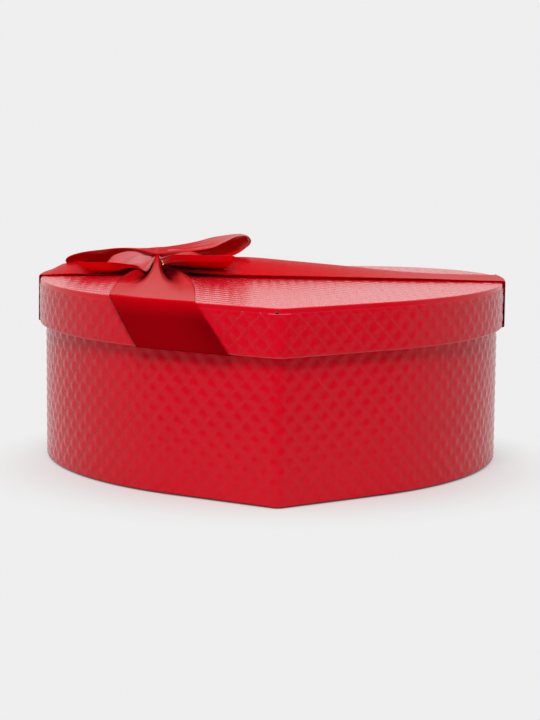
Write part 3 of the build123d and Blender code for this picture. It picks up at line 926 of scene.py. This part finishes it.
def ribbon_piece(name, grid, closed=False, satin_painted_shade=0.0, painted_sheen_and_coat=0.0, matt=0.0):
    """Sheet of ribbon through a grid of points, with rows along its length. Its UV map is the flat
    ribbon in metres."""
    rows, columns = grid.shape[:2]
    index = np.arange(rows * columns).reshape(rows, columns)
    ring = np.concatenate([grid, grid[:1]]) if closed else grid
    if closed:
        index = np.vstack([index, index[:1]])
    quads = face_corners(index).reshape(-1, 4)
    mesh = bpy.data.meshes.new(name)
    mesh.from_pydata((grid.reshape(-1, 3) * MM).tolist(), [], quads.tolist())
    mesh.polygons.foreach_set("use_smooth", [True] * len(quads))
    steps = np.linalg.norm(np.diff(ring, axis=0), axis=2).mean(axis=1)
    along = np.concatenate([[0], np.cumsum(steps)])
    across = np.linspace(0, RIBBON_WIDTH, columns)
    weave = np.stack(np.broadcast_arrays(across[None, :], along[:, None]), -1)
    corners = (face_corners(weave) * MM).astype(np.float32)
    mesh.uv_layers.new(name="weave").data.foreach_set("uv", corners.ravel())
    # Satin that hangs down the skirt gets painted shade; the three marks carry painted shade, painted
    # sheen with a coat of gloss, and matt crumpling
    satin_painted_shade = np.maximum(HANGING_SHADE * hanging_share(grid), satin_painted_shade)
    for label, amount in {"satin_painted_shade": satin_painted_shade, "painted_sheen_and_coat": painted_sheen_and_coat, "matt": matt}.items():
        values = np.broadcast_to(amount, (rows, columns)).astype(np.float32).ravel()
        mesh.attributes.new(label, "FLOAT", "POINT").data.foreach_set("value", values)
    piece = bpy.data.objects.new(name, mesh)
    scene.collection.objects.link(piece)
    thickness = piece.modifiers.new("thickness", "SOLIDIFY")
    thickness.thickness = RIBBON_THICK * MM
    thickness.offset = 0
    mesh.materials.append(satin)
    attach(piece, "lid")
    print(name, "is", round(along[-1], 1), "mm long")
    return piece, along[-1]


# %% [markdown]
# ### Satin finish
# Satin shows long floating threads, so it is bright where it is drawn tight towards the light and almost
# black where it turns away. A plain glossy shader shows less of that than cloth does, so marks on the
# points paint that light and shade in: painted sheen makes satin paler and gives it a coat of gloss,
# painted shade mixes it with a dark matt shader, and crumpled satin is rougher. The threads are a fine
# noise, stretched along the ribbon, and the narrow edge is woven tighter and painted darker, a painted
# line of shade along each edge. Some light comes through, as it does through any thin ribbon.

# %% Satin finish
# Colours: red, deeper red, the woven edge with its painted shade, painted sheen, and the dark colour of
# painted shade
SATIN_RED = (1.0, 0.0012, 0.0110, 1)
SATIN_DEEP = (0.94, 0.0006, 0.0080, 1)
SATIN_EDGE = (0.30, 0.0004, 0.0030, 1)
SATIN_PAINTED_SHEEN = (1.0, 0.42, 0.44, 1)
SATIN_PAINTED_SHADE = (0.05, 0.0003, 0.0016, 1)
SATIN_THROUGH = 0.30
SATIN_IOR = 1.08

# Threads across and along the ribbon in each metre, broad patches, and their parts in the colour
THREADS = (2500.0, 120.0, 0.0)
PATCHES = 60.0
THREAD_PART = 0.6
PATCH_PART = 0.4
# Width of the woven edge, the share of its darker colour, which is partly painted shade, then the share
# of painted sheen, the coat it brings and that coat's roughness
SELVAGE = 0.3
SELVAGE_DARK = 0.35
PAINTED_SHEEN_SHARE = 0.9
SHEEN_MARK_COAT = 0.5
COAT_ROUGH = 0.25

# Roughness of flat satin, and what threads, selvage and crumpling add to it
SATIN_ROUGH = 0.17
THREAD_ROUGH = 0.08
SELVAGE_ROUGH = 0.1
MATT_ROUGH = 0.6

# Bump of the weave, with the parts of threads and selvage in it
WEAVE_BUMP = 0.2
WEAVE_HEIGHT = 0.0001
THREAD_HEIGHT = 0.5
SELVAGE_HEIGHT = 2


def satin_finish(name):
    material, bench = new_finish(name)
    weave = bench.add("ShaderNodeUVMap", {"uv_map": "weave"})
    across = bench.add("ShaderNodeSeparateXYZ", {}, {0: weave}).out("X")
    stretched = bench.add("ShaderNodeVectorMath", {"operation": "MULTIPLY"}, {0: weave, 1: THREADS})
    threads = bench.noise(stretched, 1.0, 2.0)
    patches = bench.noise(weave, PATCHES, 2.0)
    selvage = across.math("MINIMUM", RIBBON_WIDTH * MM - across) < SELVAGE * MM
    painted_sheen_and_coat = bench.mark("painted_sheen_and_coat")
    colour = bench.mix(threads * THREAD_PART + patches * PATCH_PART, SATIN_DEEP, SATIN_RED)
    # The woven edge is darker: its own tighter weave, and partly a painted line of shade along each edge
    colour = bench.mix(selvage * SELVAGE_DARK, colour, SATIN_EDGE)
    # Painted sheen: paler satin where the mark says, which also gets a coat of gloss
    colour = bench.mix(painted_sheen_and_coat * PAINTED_SHEEN_SHARE, colour, SATIN_PAINTED_SHEEN)
    roughness = SATIN_ROUGH + threads * THREAD_ROUGH + selvage * SELVAGE_ROUGH
    roughness = roughness + bench.mark("matt") * MATT_ROUGH
    height = threads * THREAD_HEIGHT + selvage * SELVAGE_HEIGHT
    bump = bench.bump(WEAVE_BUMP, WEAVE_HEIGHT, height)
    inputs = {"Base Color": colour, "Roughness": roughness, "Normal": bump, "IOR": SATIN_IOR}
    inputs.update({"Coat Weight": painted_sheen_and_coat * SHEEN_MARK_COAT, "Coat Roughness": COAT_ROUGH})
    face = bench.add("ShaderNodeBsdfPrincipled", {}, inputs)
    through = bench.add("ShaderNodeBsdfTranslucent", {}, {"Color": colour})
    surface = bench.add("ShaderNodeMixShader", {}, {0: SATIN_THROUGH, 1: face, 2: through})
    # Painted shade: a dark matt shader mixed in by its mark
    shade = bench.add("ShaderNodeBsdfDiffuse", {}, {"Color": SATIN_PAINTED_SHADE})
    satin_painted_shade = bench.mark("satin_painted_shade")
    bench.show(bench.add("ShaderNodeMixShader", {}, {0: satin_painted_shade, 1: surface, 2: shade}))
    print(name, "has", len(material.node_tree.nodes), "nodes")
    return material


satin = satin_finish("red satin ribbon")

# %% [markdown]
# ### Arms of ribbon
# Each ribbon runs straight from the gathered middle to the lid's edge, turns down the skirt, round its
# lower rim and a little way up inside, where it is glued. An arm is a grid: rows on the lid, whose width
# and height come from two functions, then rows that follow a profile round the edge.

# %% Ribbon arms
RIBBON_TUCK = 10.0
RIBBON_GAP = 0.2
ARM_START = -20.0
TOP_FOLD = 0.9
RIM_FOLD_OUT = 0.7
RIM_FOLD_IN = 0.5
arm_out = LID_OUTSIDE + SIDE_LIFT
arm_in = LID_INSIDE - RIBBON_GAP
arm_foot = SKIRT_FOOT - RIBBON_GAP
arm_profile = Profile(
    [
        (ARM_START, LID_TOP + LIFT, 0),
        (arm_out, LID_TOP + LIFT, TOP_FOLD),
        (arm_out, arm_foot, RIM_FOLD_OUT),
        (arm_in, arm_foot, RIM_FOLD_IN),
        (arm_in, SKIRT_FOOT + RIBBON_TUCK, 0),
    ]
)
FOLD = arm_profile.flats[1][0]

# Points of the outline in which an arm looks for its fold, how much its rows crowd towards the knot,
# how far short of the edge they stop, where the round of the fold starts, and the rows down the skirt
EDGE_POINTS = 8000
CROWDING = 1.3
SHORT_OF_EDGE = 1.2
ROUND_REACH = 1.6
SKIRT_ROWS = 10


def edge_reach(start, heading):
    """Distance from a plan point to the lid's edge along a heading, the length along the outline where
    it gets there, and how far a ribbon that goes on in that heading slips along the edge as it falls."""
    lengths = np.linspace(0, heart_length(arm_out), EDGE_POINTS)
    plan, out = heart(lengths, arm_out, arm_out)
    aside = (plan - start) @ np.array([-heading[1], heading[0]])
    ahead = (plan - start) @ heading
    hits = np.nonzero((aside[:-1] * aside[1:] <= 0) & (ahead[:-1] > 0))[0]
    hit = hits[np.argmin(ahead[hits])]
    share = aside[hit] / (aside[hit] - aside[hit + 1])
    slip = (heading @ np.array([-out[hit][1], out[hit][0]])) / (heading @ out[hit])
    distance = ahead[hit] + share * (ahead[hit + 1] - ahead[hit])
    return distance, lengths[hit] + share * lengths[1], slip


def arm(heading, half_width, height, rows, columns, slip=None):
    """Grid of one arm from the knot outwards. half_width(run) gives half its width at a distance from
    the knot, and height(run, sides, reaches) lifts it off the lid."""
    heading = np.array(heading) / np.linalg.norm(heading)
    left = np.array([-heading[1], heading[0]])
    sides = np.linspace(-1, 1, columns)
    starts = [KNOT + left * side * RIBBON_WIDTH / 2 for side in sides]
    reaches, folds, slips = np.array([edge_reach(start, heading) for start in starts]).T
    slip = slips.mean() if slip is None else slip
    grid = []
    for share in np.linspace(0, 1, rows) ** CROWDING:
        run = (reaches - SHORT_OF_EDGE) * share
        plan = KNOT + heading * run[:, None] + left * (sides * half_width(run))[:, None]
        grid.append(np.column_stack([plan, LID_TOP + LIFT + height(run, sides, reaches)]))
    bends = arm_profile.lengths[arm_profile.lengths > FOLD - ROUND_REACH]
    last = ROUND_STEPS - 1
    down = np.linspace(bends[last], bends[last + 1], SKIRT_ROWS)
    for fall in np.concatenate([bends[:last], down, bends[last + 2 :]]):
        out, up, _, _ = arm_profile.at(fall)
        plan, _ = heart(folds + slip * (fall - FOLD), out, arm_out)
        grid.append(np.column_stack([plan, np.full(columns, up)]))
    return np.array(grid)


print("ribbon goes", round(arm_profile.length - FOLD, 1), "mm down and round the skirt")

# %% [markdown]
# ### Cross ribbon
# It is stretched from the raised middle of the bow, so its arms slope down to the lid and lie flat at the
# edge. Seen from the front, an arm's back edge stands higher than its front edge. The bow's tails lie on
# it, so it is kept low under them, with painted shade there, and rises only past their ends. Heights are
# written as lists: stations along the arm, then the height of the front edge and of the crest at each
# station.

# %% Cross ribbon
RIGHT_SLANT = math.radians(-6.0)
LEFT_SLANT = math.radians(1.3)
right_heading = np.array([math.cos(RIGHT_SLANT), math.sin(RIGHT_SLANT)])
left_heading = np.array([-math.cos(LEFT_SLANT), math.sin(LEFT_SLANT)])

# Share of the width at which an arm is highest, the share behind it, and how its back edge comes down
CREST_AT = 0.8
BACK_SHARE = 0.2
BACK_DROP = 0.3
BACK_CURVE = 1.5
BACK_EASE = 8.0

# End of the right tail at some shares of the width, the length over which the arm rises past it, and
# the part of its height that it keeps below
TAIL_SHARES = [0.1, 0.33, 0.63, 0.85]
TAIL_ENDS = [51.5, 45.5, 42, 38]
TAIL_EASE = 7.0
KEPT_LOW = 0.2
EDGE_EASE = 8.0

# Small creases from the knot: height, length over which they fade, and number
RIGHT_CREASES = (0.8, 22, 3)
LEFT_CREASES = (0.5, 18, 3)

# Painted shade under the bow: amount, reach from the knot and length over which it fades, then its matt
# finish
BOW_SHADE = 0.9
BOW_SHADE_REACH = 58
BOW_SHADE_EASE = 36
CROSS_MATT = 0.12


def cross_half_width(run):
    return curve([0, 12, 30, 50, 260], [8, 13, 22, 25, 25], run)


def creases(run, sides, size, fade, folds):
    """Small creases that spread from the knot and die out."""
    return size * np.exp(-run / fade) * np.cos(sides * folds * math.pi)


def arched(run, share, front, crest):
    """Height across an arm: up from its front edge to a crest, and down again to its back edge."""
    up = front + (crest - front) * np.sin(clamp(share / CREST_AT) * math.pi / 2)
    behind = clamp((share - CREST_AT) / BACK_SHARE) ** BACK_CURVE
    return up - (crest + BACK_DROP) * behind * clamp(run / BACK_EASE)


def right_height(run, sides, reaches):
    stations = [0, 20, 55, 90, 120, 150, 175, 205, 240]
    front = curve(stations, [5, 2.4, 1.5, 1.2, 1.1, 1.0, 0.9, 0.4, 0], run)
    crest = curve(stations, [5, 8.0, 9.8, 7.6, 5.2, 2.6, 1.0, 0.3, 0], run)
    share = (1 + sides) / 2
    past_tail = clamp((run - np.interp(share, TAIL_SHARES, TAIL_ENDS)) / TAIL_EASE)
    past_tail = past_tail**2 * (3 - 2 * past_tail)
    crest = front + (crest - front) * (KEPT_LOW + (1 - KEPT_LOW) * past_tail)
    return arched(run, share, front, crest) + creases(run, sides, *RIGHT_CREASES)


def left_height(run, sides, reaches):
    stations = [0, 14, 26, 43, 49, 54, 60, 67, 73]
    front = curve(stations, [5, 2.2, 0.5, 0.4, 0.8, 0.8, 0.5, 0.2, 0], run)
    crest = curve(stations, [5, 3.0, 0.5, 0.4, 4.6, 5.6, 4.5, 3.2, 1.2], run)
    to_edge = clamp((reaches - run) / EDGE_EASE)
    return arched(run, (1 - sides) / 2, front, crest) * to_edge + creases(run, sides, *LEFT_CREASES)


right_arm = arm(right_heading, cross_half_width, right_height, rows=60, columns=49)
left_arm = arm(left_heading, cross_half_width, left_height, rows=40, columns=49)
cross_grid = np.concatenate([left_arm[::-1, ::-1], right_arm[1:]])
from_bow = np.abs(cross_grid[..., 0] - KNOT[0])
under_bow = BOW_SHADE * clamp((BOW_SHADE_REACH - from_bow) / BOW_SHADE_EASE)
cross, cross_length = ribbon_piece(
    "cross_ribbon_satin", cross_grid, satin_painted_shade=under_bow, matt=CROSS_MATT
)
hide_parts("cross_ribbon")

# %% [markdown]
# ### Lengthwise ribbon
# Its front arm is pleated: the gathered middle spreads into a central ridge with a valley and a softer
# wing on each side, and is flat where it folds over the edge. On the skirt it slants towards the tip.
# The marks on its points follow the pleats: painted shade in the valleys and under the bow's right tail,
# and crumpled, with a little painted shade, to the left of the ridge. Where it hangs down the skirt it
# gets painted shade as well, more towards its right edge.

# %% Lengthwise ribbon
FRONT_SLIP = 0.8
front_heading = np.array([0.0165, -1.0])

# Ridge of the pleat: height, length over which it sinks, and how square it is
RIDGE_HEIGHT = 9.0
RIDGE_FADE = 74
RIDGE_SQUARE = 2.6
NECK_HEIGHT = 4.5
NECK_FADE = 8
WING_AT = 0.86
WING_HALF = 0.2
FRONT_EDGE_EASE = 20
BACK_CREASES = (0.9, 16, 3)

# Painted shade in the valleys: where it ends and how fast, its distance from the ridge and half width at
# the knot, and how much of each is added along the arm
VALLEY_END = 88
VALLEY_EASE = 45
VALLEY_ASIDE = 4.2
VALLEY_SPREADS = 0.08
VALLEY_HALF = 2.6
VALLEY_WIDENS = 0.03

# Painted shade on the right wing, under the bow's right tail: distance to the right at which it starts,
# its end along the arm, and its amount
WING_START = 4
WING_EASE = 4
WING_END = 58
WING_END_EASE = 30
WING_SHADE = 0.88

# Crumpled left part: distance to the left at which it starts, its end along the arm near the ridge,
# how much further it goes away from the ridge, and how much painted shade it gets; then the extra
# painted shade towards the right edge of the part that hangs down the skirt
CRUMPLE_START = 3
CRUMPLE_EASE = 3
CRUMPLE_END = 35
CRUMPLE_MORE = 55
CRUMPLE_MORE_EASE = 12
CRUMPLE_END_EASE = 22
CRUMPLE_SHADE = 0.2
SKIRT_SHADE = 0.2


def front_half_width(run):
    stations = [0, 10, 22, 45, 70, 100, 130, 200]
    return curve(stations, [5, 8.8, 14, 20.0, 22.8, 24.4, 25, 25], run)


def front_height(run, sides, reaches):
    aside = sides * front_half_width(run)
    neck = NECK_HEIGHT * np.exp(-run / NECK_FADE)
    ridge_half = curve([0, 20, 45, 90, 140], [2.8, 3.6, 5.4, 9.0, 13.0], run)
    ridge = RIDGE_HEIGHT * np.exp(-((run / RIDGE_FADE) ** 2))
    ridge = ridge * np.exp(-(np.abs(aside / ridge_half) ** RIDGE_SQUARE))
    rise = curve([0, 18, 32, 55, 90, 130], [0, 2.2, 3.8, 2.0, 0.3, 0], run)
    wings = rise * np.exp(-(((np.abs(sides) - WING_AT) / WING_HALF) ** 2))
    return (neck + ridge + wings) * clamp((reaches - run) / FRONT_EDGE_EASE)


def back_height(run, sides, reaches):
    sloping = curve([0, 15, 30, 45, 70], [6, 4.0, 2.0, 0.8, 0], run)
    return sloping + creases(run, sides, *BACK_CREASES)


def pleat_marks(grid):
    """How much painted shade each point of the lengthwise ribbon gets, and how crumpled it is."""
    to_right = grid[..., 0] - KNOT[0]
    run = KNOT[1] - grid[..., 1]
    in_front = run > 0
    aside = np.abs(to_right - front_heading[0] * run)
    valley_middle = VALLEY_ASIDE + VALLEY_SPREADS * run
    valley_half = VALLEY_HALF + VALLEY_WIDENS * run
    satin_painted_shade = np.exp(-(((aside - valley_middle) / valley_half) ** 2))
    satin_painted_shade = satin_painted_shade * in_front * clamp((VALLEY_END - run) / VALLEY_EASE)
    wing = in_front * clamp((to_right - WING_START) / WING_EASE)
    wing = wing * clamp((WING_END - run) / WING_END_EASE)
    to_left = -to_right - CRUMPLE_START
    crumple_end = CRUMPLE_END + CRUMPLE_MORE * clamp(to_left / CRUMPLE_MORE_EASE)
    crumpled = in_front * clamp(to_left / CRUMPLE_EASE)
    crumpled = crumpled * clamp((crumple_end - run) / CRUMPLE_END_EASE)
    from_middle = grid[..., 0] - grid[..., 0].mean(axis=1, keepdims=True)
    skirt = HANGING_SHADE + SKIRT_SHADE * clamp(from_middle / (RIBBON_WIDTH / 2)) ** 2
    for shade in (WING_SHADE * wing, CRUMPLE_SHADE * crumpled, skirt * hanging_share(grid)):
        satin_painted_shade = np.maximum(satin_painted_shade, shade)
    return satin_painted_shade, crumpled


front_arm = arm(front_heading, front_half_width, front_height, rows=90, columns=61, slip=FRONT_SLIP)
back_arm = arm((0.0, 1.0), cross_half_width, back_height, rows=30, columns=61)
length_grid = np.concatenate([front_arm[::-1, ::-1], back_arm[1:]])
pleats, crumples = pleat_marks(length_grid)
lengthwise, lengthwise_length = ribbon_piece(
    "lengthwise_ribbon_satin", length_grid, satin_painted_shade=pleats, matt=crumples
)
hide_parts("lengthwise_ribbon")

# %% [markdown]
# ### Bow tails
# The lower half of the bow is a short length of ribbon pinched in its middle. Its halves cup upwards
# and their ends are cut on a slant. Rows run from the left end to the right end, and each row from
# the front edge to the back edge, as places from the knot in x, y and height above the lid. Near the
# pinch the satin gets painted sheen with a coat of gloss, most of all in the upper part of the left tail.

# %% Bow tails
# Folds that spread from the pinch: their number, then height and reach in the tails and in the loops
PINCH_FOLDS = 3.5
TAIL_PINCH = 1.9
TAIL_PINCH_REACH = 15.0
LOOP_PINCH = 1.6
LOOP_PINCH_REACH = 20.0

# Painted sheen: where it starts across a tail, and its reach from the knot on the upper part and all over
SHINE_START = 0.15
SHINE_EASE = 0.3
LEFT_SHINE = (36, 9)
RIGHT_SHINE = (18, 5)
tail_cage = [
    [(-50.3, -24, 9.8), (-46.5, -22, 5), (-42, -11, 1.6), (-39.5, 3, 1.8), (-38, 14, 4)],
    [(-44, -24, 9.2), (-41, -21.5, 4.2), (-38, -10, 1.6), (-36, 3, 2.5), (-34, 12, 6)],
    [(-32.5, -24, 9.1), (-31.5, -21, 4), (-30.5, -9, 1.8), (-29.5, 4, 4.5), (-29.3, 11, 10.7)],
    [(-24.5, -24, 8.7), (-24, -19, 4.5), (-23, -7, 3.2), (-22, 6, 8), (-22, 11, 13.2)],
    [(-13.1, -23, 6.9), (-14, -17, 6), (-15, -6, 7.5), (-15, 5, 11.5), (-14.6, 10, 13.8)],
    [(-6, -21, 3.2), (-9, -14, 5), (-10, -5, 8.5), (-10, 3, 11.5), (-8.4, 9, 12)],
    [(-1.5, -5, 9.5), (-2, -3, 8.8), (-2, 0, 9), (-2, 3, 9.4), (-1.5, 5, 11.5)],
    [(1.5, -5, 10), (2, -3, 9), (2, 0, 9), (2, 3, 9.6), (1.5, 5, 12.5)],
    [(3.3, -6, 10), (5, -6, 8), (6, -3, 7.8), (7, 3, 10.5), (9.4, 8, 15)],
    [(12.7, -16, 13.6), (13, -15.5, 9.5), (14, -9, 7), (15, 3, 9), (17.9, 10, 14.7)],
    [(28.3, -24, 14.2), (28, -22, 9), (27.5, -11, 5.3), (26, 3, 6.5), (24.6, 11, 13.2)],
    [(40, -24.5, 14.1), (38.5, -23, 9), (37, -12, 5), (34, 3, 5), (30, 12, 11)],
    [(51, -24, 13.8), (48, -23, 9.2), (44.6, -13, 4.8), (41, 2, 4), (37, 13, 8.5)],
]


def at_knot(grid):
    return grid + np.array([*KNOT, LID_TOP])


def hump(value, reach):
    """1 at 0, and almost 0 from twice the reach on."""
    return np.exp(-((value / reach) ** 2))


def pinched(grid, size, reach):
    """Adds the folds that spread from the pinch."""
    share = np.linspace(0, 1, grid.shape[1])
    grid = grid.copy()
    grid[..., 2] += size * hump(grid[..., 0], reach) * np.sin(share * PINCH_FOLDS * 2 * math.pi)
    return grid


def tail_painted_sheen(grid):
    """How much painted sheen, with its coat of gloss, each point of the tails gets."""
    to_right = grid[..., 0]
    upper = clamp((np.linspace(0, 1, grid.shape[1]) - SHINE_START) / SHINE_EASE)
    left, right = (
        np.maximum(upper * hump(to_right, far), hump(to_right, near))
        for far, near in (LEFT_SHINE, RIGHT_SHINE)
    )
    return np.where(to_right < 0, left, right)


tail_grid = pinched(smooth_cage(tail_cage, 140, 61), TAIL_PINCH, TAIL_PINCH_REACH)
tails, tails_length = ribbon_piece("bow_tails_satin", at_knot(tail_grid), painted_sheen_and_coat=tail_painted_sheen(tail_grid))
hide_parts("bow_tail_ribbon")

# %% [markdown]
# ### Bow loops
# The upper half is one length closed to a ring and pinched flat. The left loop droops and opens towards
# the front, the right loop stands up. Rows run once round the ring, each from the front edge to the back.

# %% Bow loops
# Painted sheen with a coat of gloss near the pinch of the loops: amount and reach
LOOP_PAINTED_SHEEN = 0.15
LOOP_PAINTED_SHEEN_REACH = 30
loop_cage = [
    [(0, -2, 8.6), (-1, 4, 8.4), (-2, 10, 8.6)],
    [(-12, 5, 6), (-12, 18, 6.5), (-13, 31, 7)],
    [(-25, 11.5, 4), (-26, 33, 6.0), (-26, 53, 4.6)],
    [(-45, 13, 3.2), (-45, 38, 5.6), (-43, 61, 2.6)],
    [(-58, 13.5, 4.4), (-57, 39, 4.2), (-54, 62, 2.4)],
    [(-61.3, 13.5, 7.0), (-60, 39, 4.6), (-56, 62, 2.7)],
    [(-58.5, 13.5, 10.0), (-57, 39, 6.2), (-53, 62, 2.9)],
    [(-50, 13.5, 12.6), (-48, 39, 8.0), (-45, 62, 3.0)],
    [(-38.5, 13, 14.2), (-38, 37, 10.0), (-36, 59, 3.8)],
    [(-25, 11.5, 15.7), (-25, 32, 12.0), (-25, 51, 5.6)],
    [(-12, 5, 15), (-12, 17, 14), (-13, 30, 11)],
    [(0, -3, 13), (-1, 4, 15.2), (-2, 12, 14)],
    [(12, 5, 13.5), (12, 17, 15), (12, 31, 15.5)],
    [(24, 11, 14.3), (24, 32, 16.5), (25, 52, 17.4)],
    [(36, 13, 16.2), (35, 37, 18.5), (35, 59, 19.8)],
    [(44.4, 13.5, 20), (44, 38, 20.5), (43, 62, 21)],
    [(52, 14, 23.6), (52, 39, 22.8), (51, 63, 22)],
    [(57.4, 14, 24.2), (57, 39, 23.3), (55, 63, 22.2)],
    [(60.8, 14, 22.6), (60, 39, 22.3), (57, 63, 21.8)],
    [(61.6, 14, 20.2), (60.6, 39, 20.6), (57, 63, 21.3)],
    [(59, 14, 16.9), (58.5, 39, 18.6), (55, 63, 20.8)],
    [(49, 13.5, 11), (49, 38, 15), (47, 62, 19.8)],
    [(30, 12.5, 8.5), (31, 35, 12), (32, 57, 17)],
    [(14, 6, 8), (14, 19, 10), (14, 33, 13.4)],
]
loop_grid = pinched(smooth_cage(loop_cage, 240, 51, True), LOOP_PINCH, LOOP_PINCH_REACH)
loop_painted_sheen = LOOP_PAINTED_SHEEN * hump(loop_grid[..., 0], LOOP_PAINTED_SHEEN_REACH)
loops, loops_length = ribbon_piece("bow_loops_satin", at_knot(loop_grid), True, painted_sheen_and_coat=loop_painted_sheen)
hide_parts("bow_loop_ribbon")

# %% [markdown]
# ### Twist tie
# A gold wire tie goes round the pinch and holds the bow down. It is two thin strands twisted together,
# so each strand is a curve that winds round a ring, with a round bevel, made into a mesh.

# %% Twist tie
TIE_MIDDLE = np.array([0.0, -0.5, 6.4])
TIE_DEPTH = 6.6
TIE_HEIGHT = 4.0
TIE_TURN = math.radians(-55)
TIE_POINTS = 400
STRAND_RADIUS = 0.45
STRAND_TWISTS = 22
STRAND_ROUNDING = 2

# Foil: colours, size of its dents, roughness and what the dents add to it, and their bump
GOLD_DARK = (0.75, 0.42, 0.10, 1)
GOLD_BRIGHT = (0.95, 0.68, 0.25, 1)
DENTS = 900.0
GOLD_ROUGH = 0.18
DENT_ROUGH = 0.15
DENT_BUMP = 0.3
DENT_HEIGHT = 0.0001


def gold_finish(name):
    material, bench = new_finish(name)
    place = bench.add("ShaderNodeTexCoord").out("Object")
    dents = bench.noise(place, DENTS, 2.0)
    inputs = {
        "Base Color": bench.mix(dents, GOLD_DARK, GOLD_BRIGHT),
        "Metallic": 1.0,
        "Roughness": GOLD_ROUGH + dents * DENT_ROUGH,
        "Normal": bench.bump(DENT_BUMP, DENT_HEIGHT, dents),
    }
    bench.show(bench.add("ShaderNodeBsdfPrincipled", {}, inputs))
    return material


def twist_tie():
    data = bpy.data.curves.new("tie", "CURVE")
    data.dimensions = "3D"
    data.bevel_depth = STRAND_RADIUS * MM
    data.bevel_resolution = STRAND_ROUNDING
    angles = np.linspace(0, 2 * math.pi, TIE_POINTS, endpoint=False)
    for strand in (0, math.pi):
        twist = angles * STRAND_TWISTS + strand
        reach = STRAND_RADIUS * np.cos(twist)
        ahead = (TIE_DEPTH + reach) * np.cos(angles)
        aside = STRAND_RADIUS * np.sin(twist)
        places = np.column_stack(
            [
                ahead * math.cos(TIE_TURN) - aside * math.sin(TIE_TURN),
                ahead * math.sin(TIE_TURN) + aside * math.cos(TIE_TURN),
                (TIE_HEIGHT + reach) * np.sin(angles),
            ]
        )
        places = at_knot(places + TIE_MIDDLE) * MM
        line = data.splines.new("POLY")
        line.points.add(len(places) - 1)
        line.points.foreach_set("co", np.column_stack([places, np.ones(len(places))]).ravel())
        line.use_cyclic_u = True
    carrier = bpy.data.objects.new("tie carrier", data)
    scene.collection.objects.link(carrier)
    mesh = plain_mesh(carrier, gold_finish("gold foil"))
    bpy.data.objects.remove(carrier)
    mesh.polygons.foreach_set("use_smooth", [True] * len(mesh.polygons))
    piece = bpy.data.objects.new("gold_tie", mesh)
    scene.collection.objects.link(piece)
    return piece


tie = twist_tie()
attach(tie, "lid")
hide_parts("twist_tie")
print("tie", len(tie.data.polygons), "faces")

# %% [markdown]
# ## Boards and linings
# The boards are grey chipboard, made from waste paper, so they are full of specks. The linings are white
# paper, and the sheet under the floor is plain red paper. Their shapes are right as they come from the
# frame, so they only get a finish: two noises, one cloudy and one in specks, between two close colours.

# %% Boards and linings
FLECK_START = 0.58
FLECK_END = 0.7
BOARD_CLOUD = 120.0
CLOUD_PART = 0.4
FLECK_PART = 0.6
CLOUD_ROUGH = 0.1
FIBRE_BUMP = 0.25
FIBRE_HEIGHT = 0.0001
LININGS = ("base_floor_liner", "base_wall_liner", "lid_top_liner")


def speckled_finish(name, pale, dark, specks, roughness):
    material, bench = new_finish(name)
    place = bench.add("ShaderNodeTexCoord").out("Object")
    cloud = bench.noise(place, BOARD_CLOUD, 5.0)
    fleck = bench.noise(place, specks, 3.0)
    flecks = bench.add("ShaderNodeMapRange", {}, {0: fleck, 1: FLECK_START, 2: FLECK_END})
    inputs = {
        "Base Color": bench.mix(cloud * CLOUD_PART + flecks * FLECK_PART, pale, dark),
        "Roughness": roughness + cloud * CLOUD_ROUGH,
        "Normal": bench.bump(FIBRE_BUMP, FIBRE_HEIGHT, cloud + fleck),
    }
    bench.show(bench.add("ShaderNodeBsdfPrincipled", {}, inputs))
    return material


chipboard = speckled_finish(
    "grey chipboard", (0.42, 0.38, 0.33, 1), (0.24, 0.21, 0.18, 1), 700.0, 0.8
)
lining = speckled_finish(
    "white lining paper", (0.82, 0.80, 0.76, 1), (0.74, 0.71, 0.66, 1), 1400.0, 0.65
)
bottom_paper = speckled_finish(
    "plain red paper", (0.45, 0.012, 0.02, 1), (0.36, 0.008, 0.015, 1), 1400.0, 0.6
)
for node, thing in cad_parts.items():
    if node in LININGS:
        finish = lining
    elif node == "base_bottom_sheet":
        finish = bottom_paper
    elif node.endswith("board") or "board_" in node:
        finish = chipboard
    else:
        continue
    thing.data.materials.clear()
    thing.data.materials.append(finish)
    print(node, "is", finish.name)
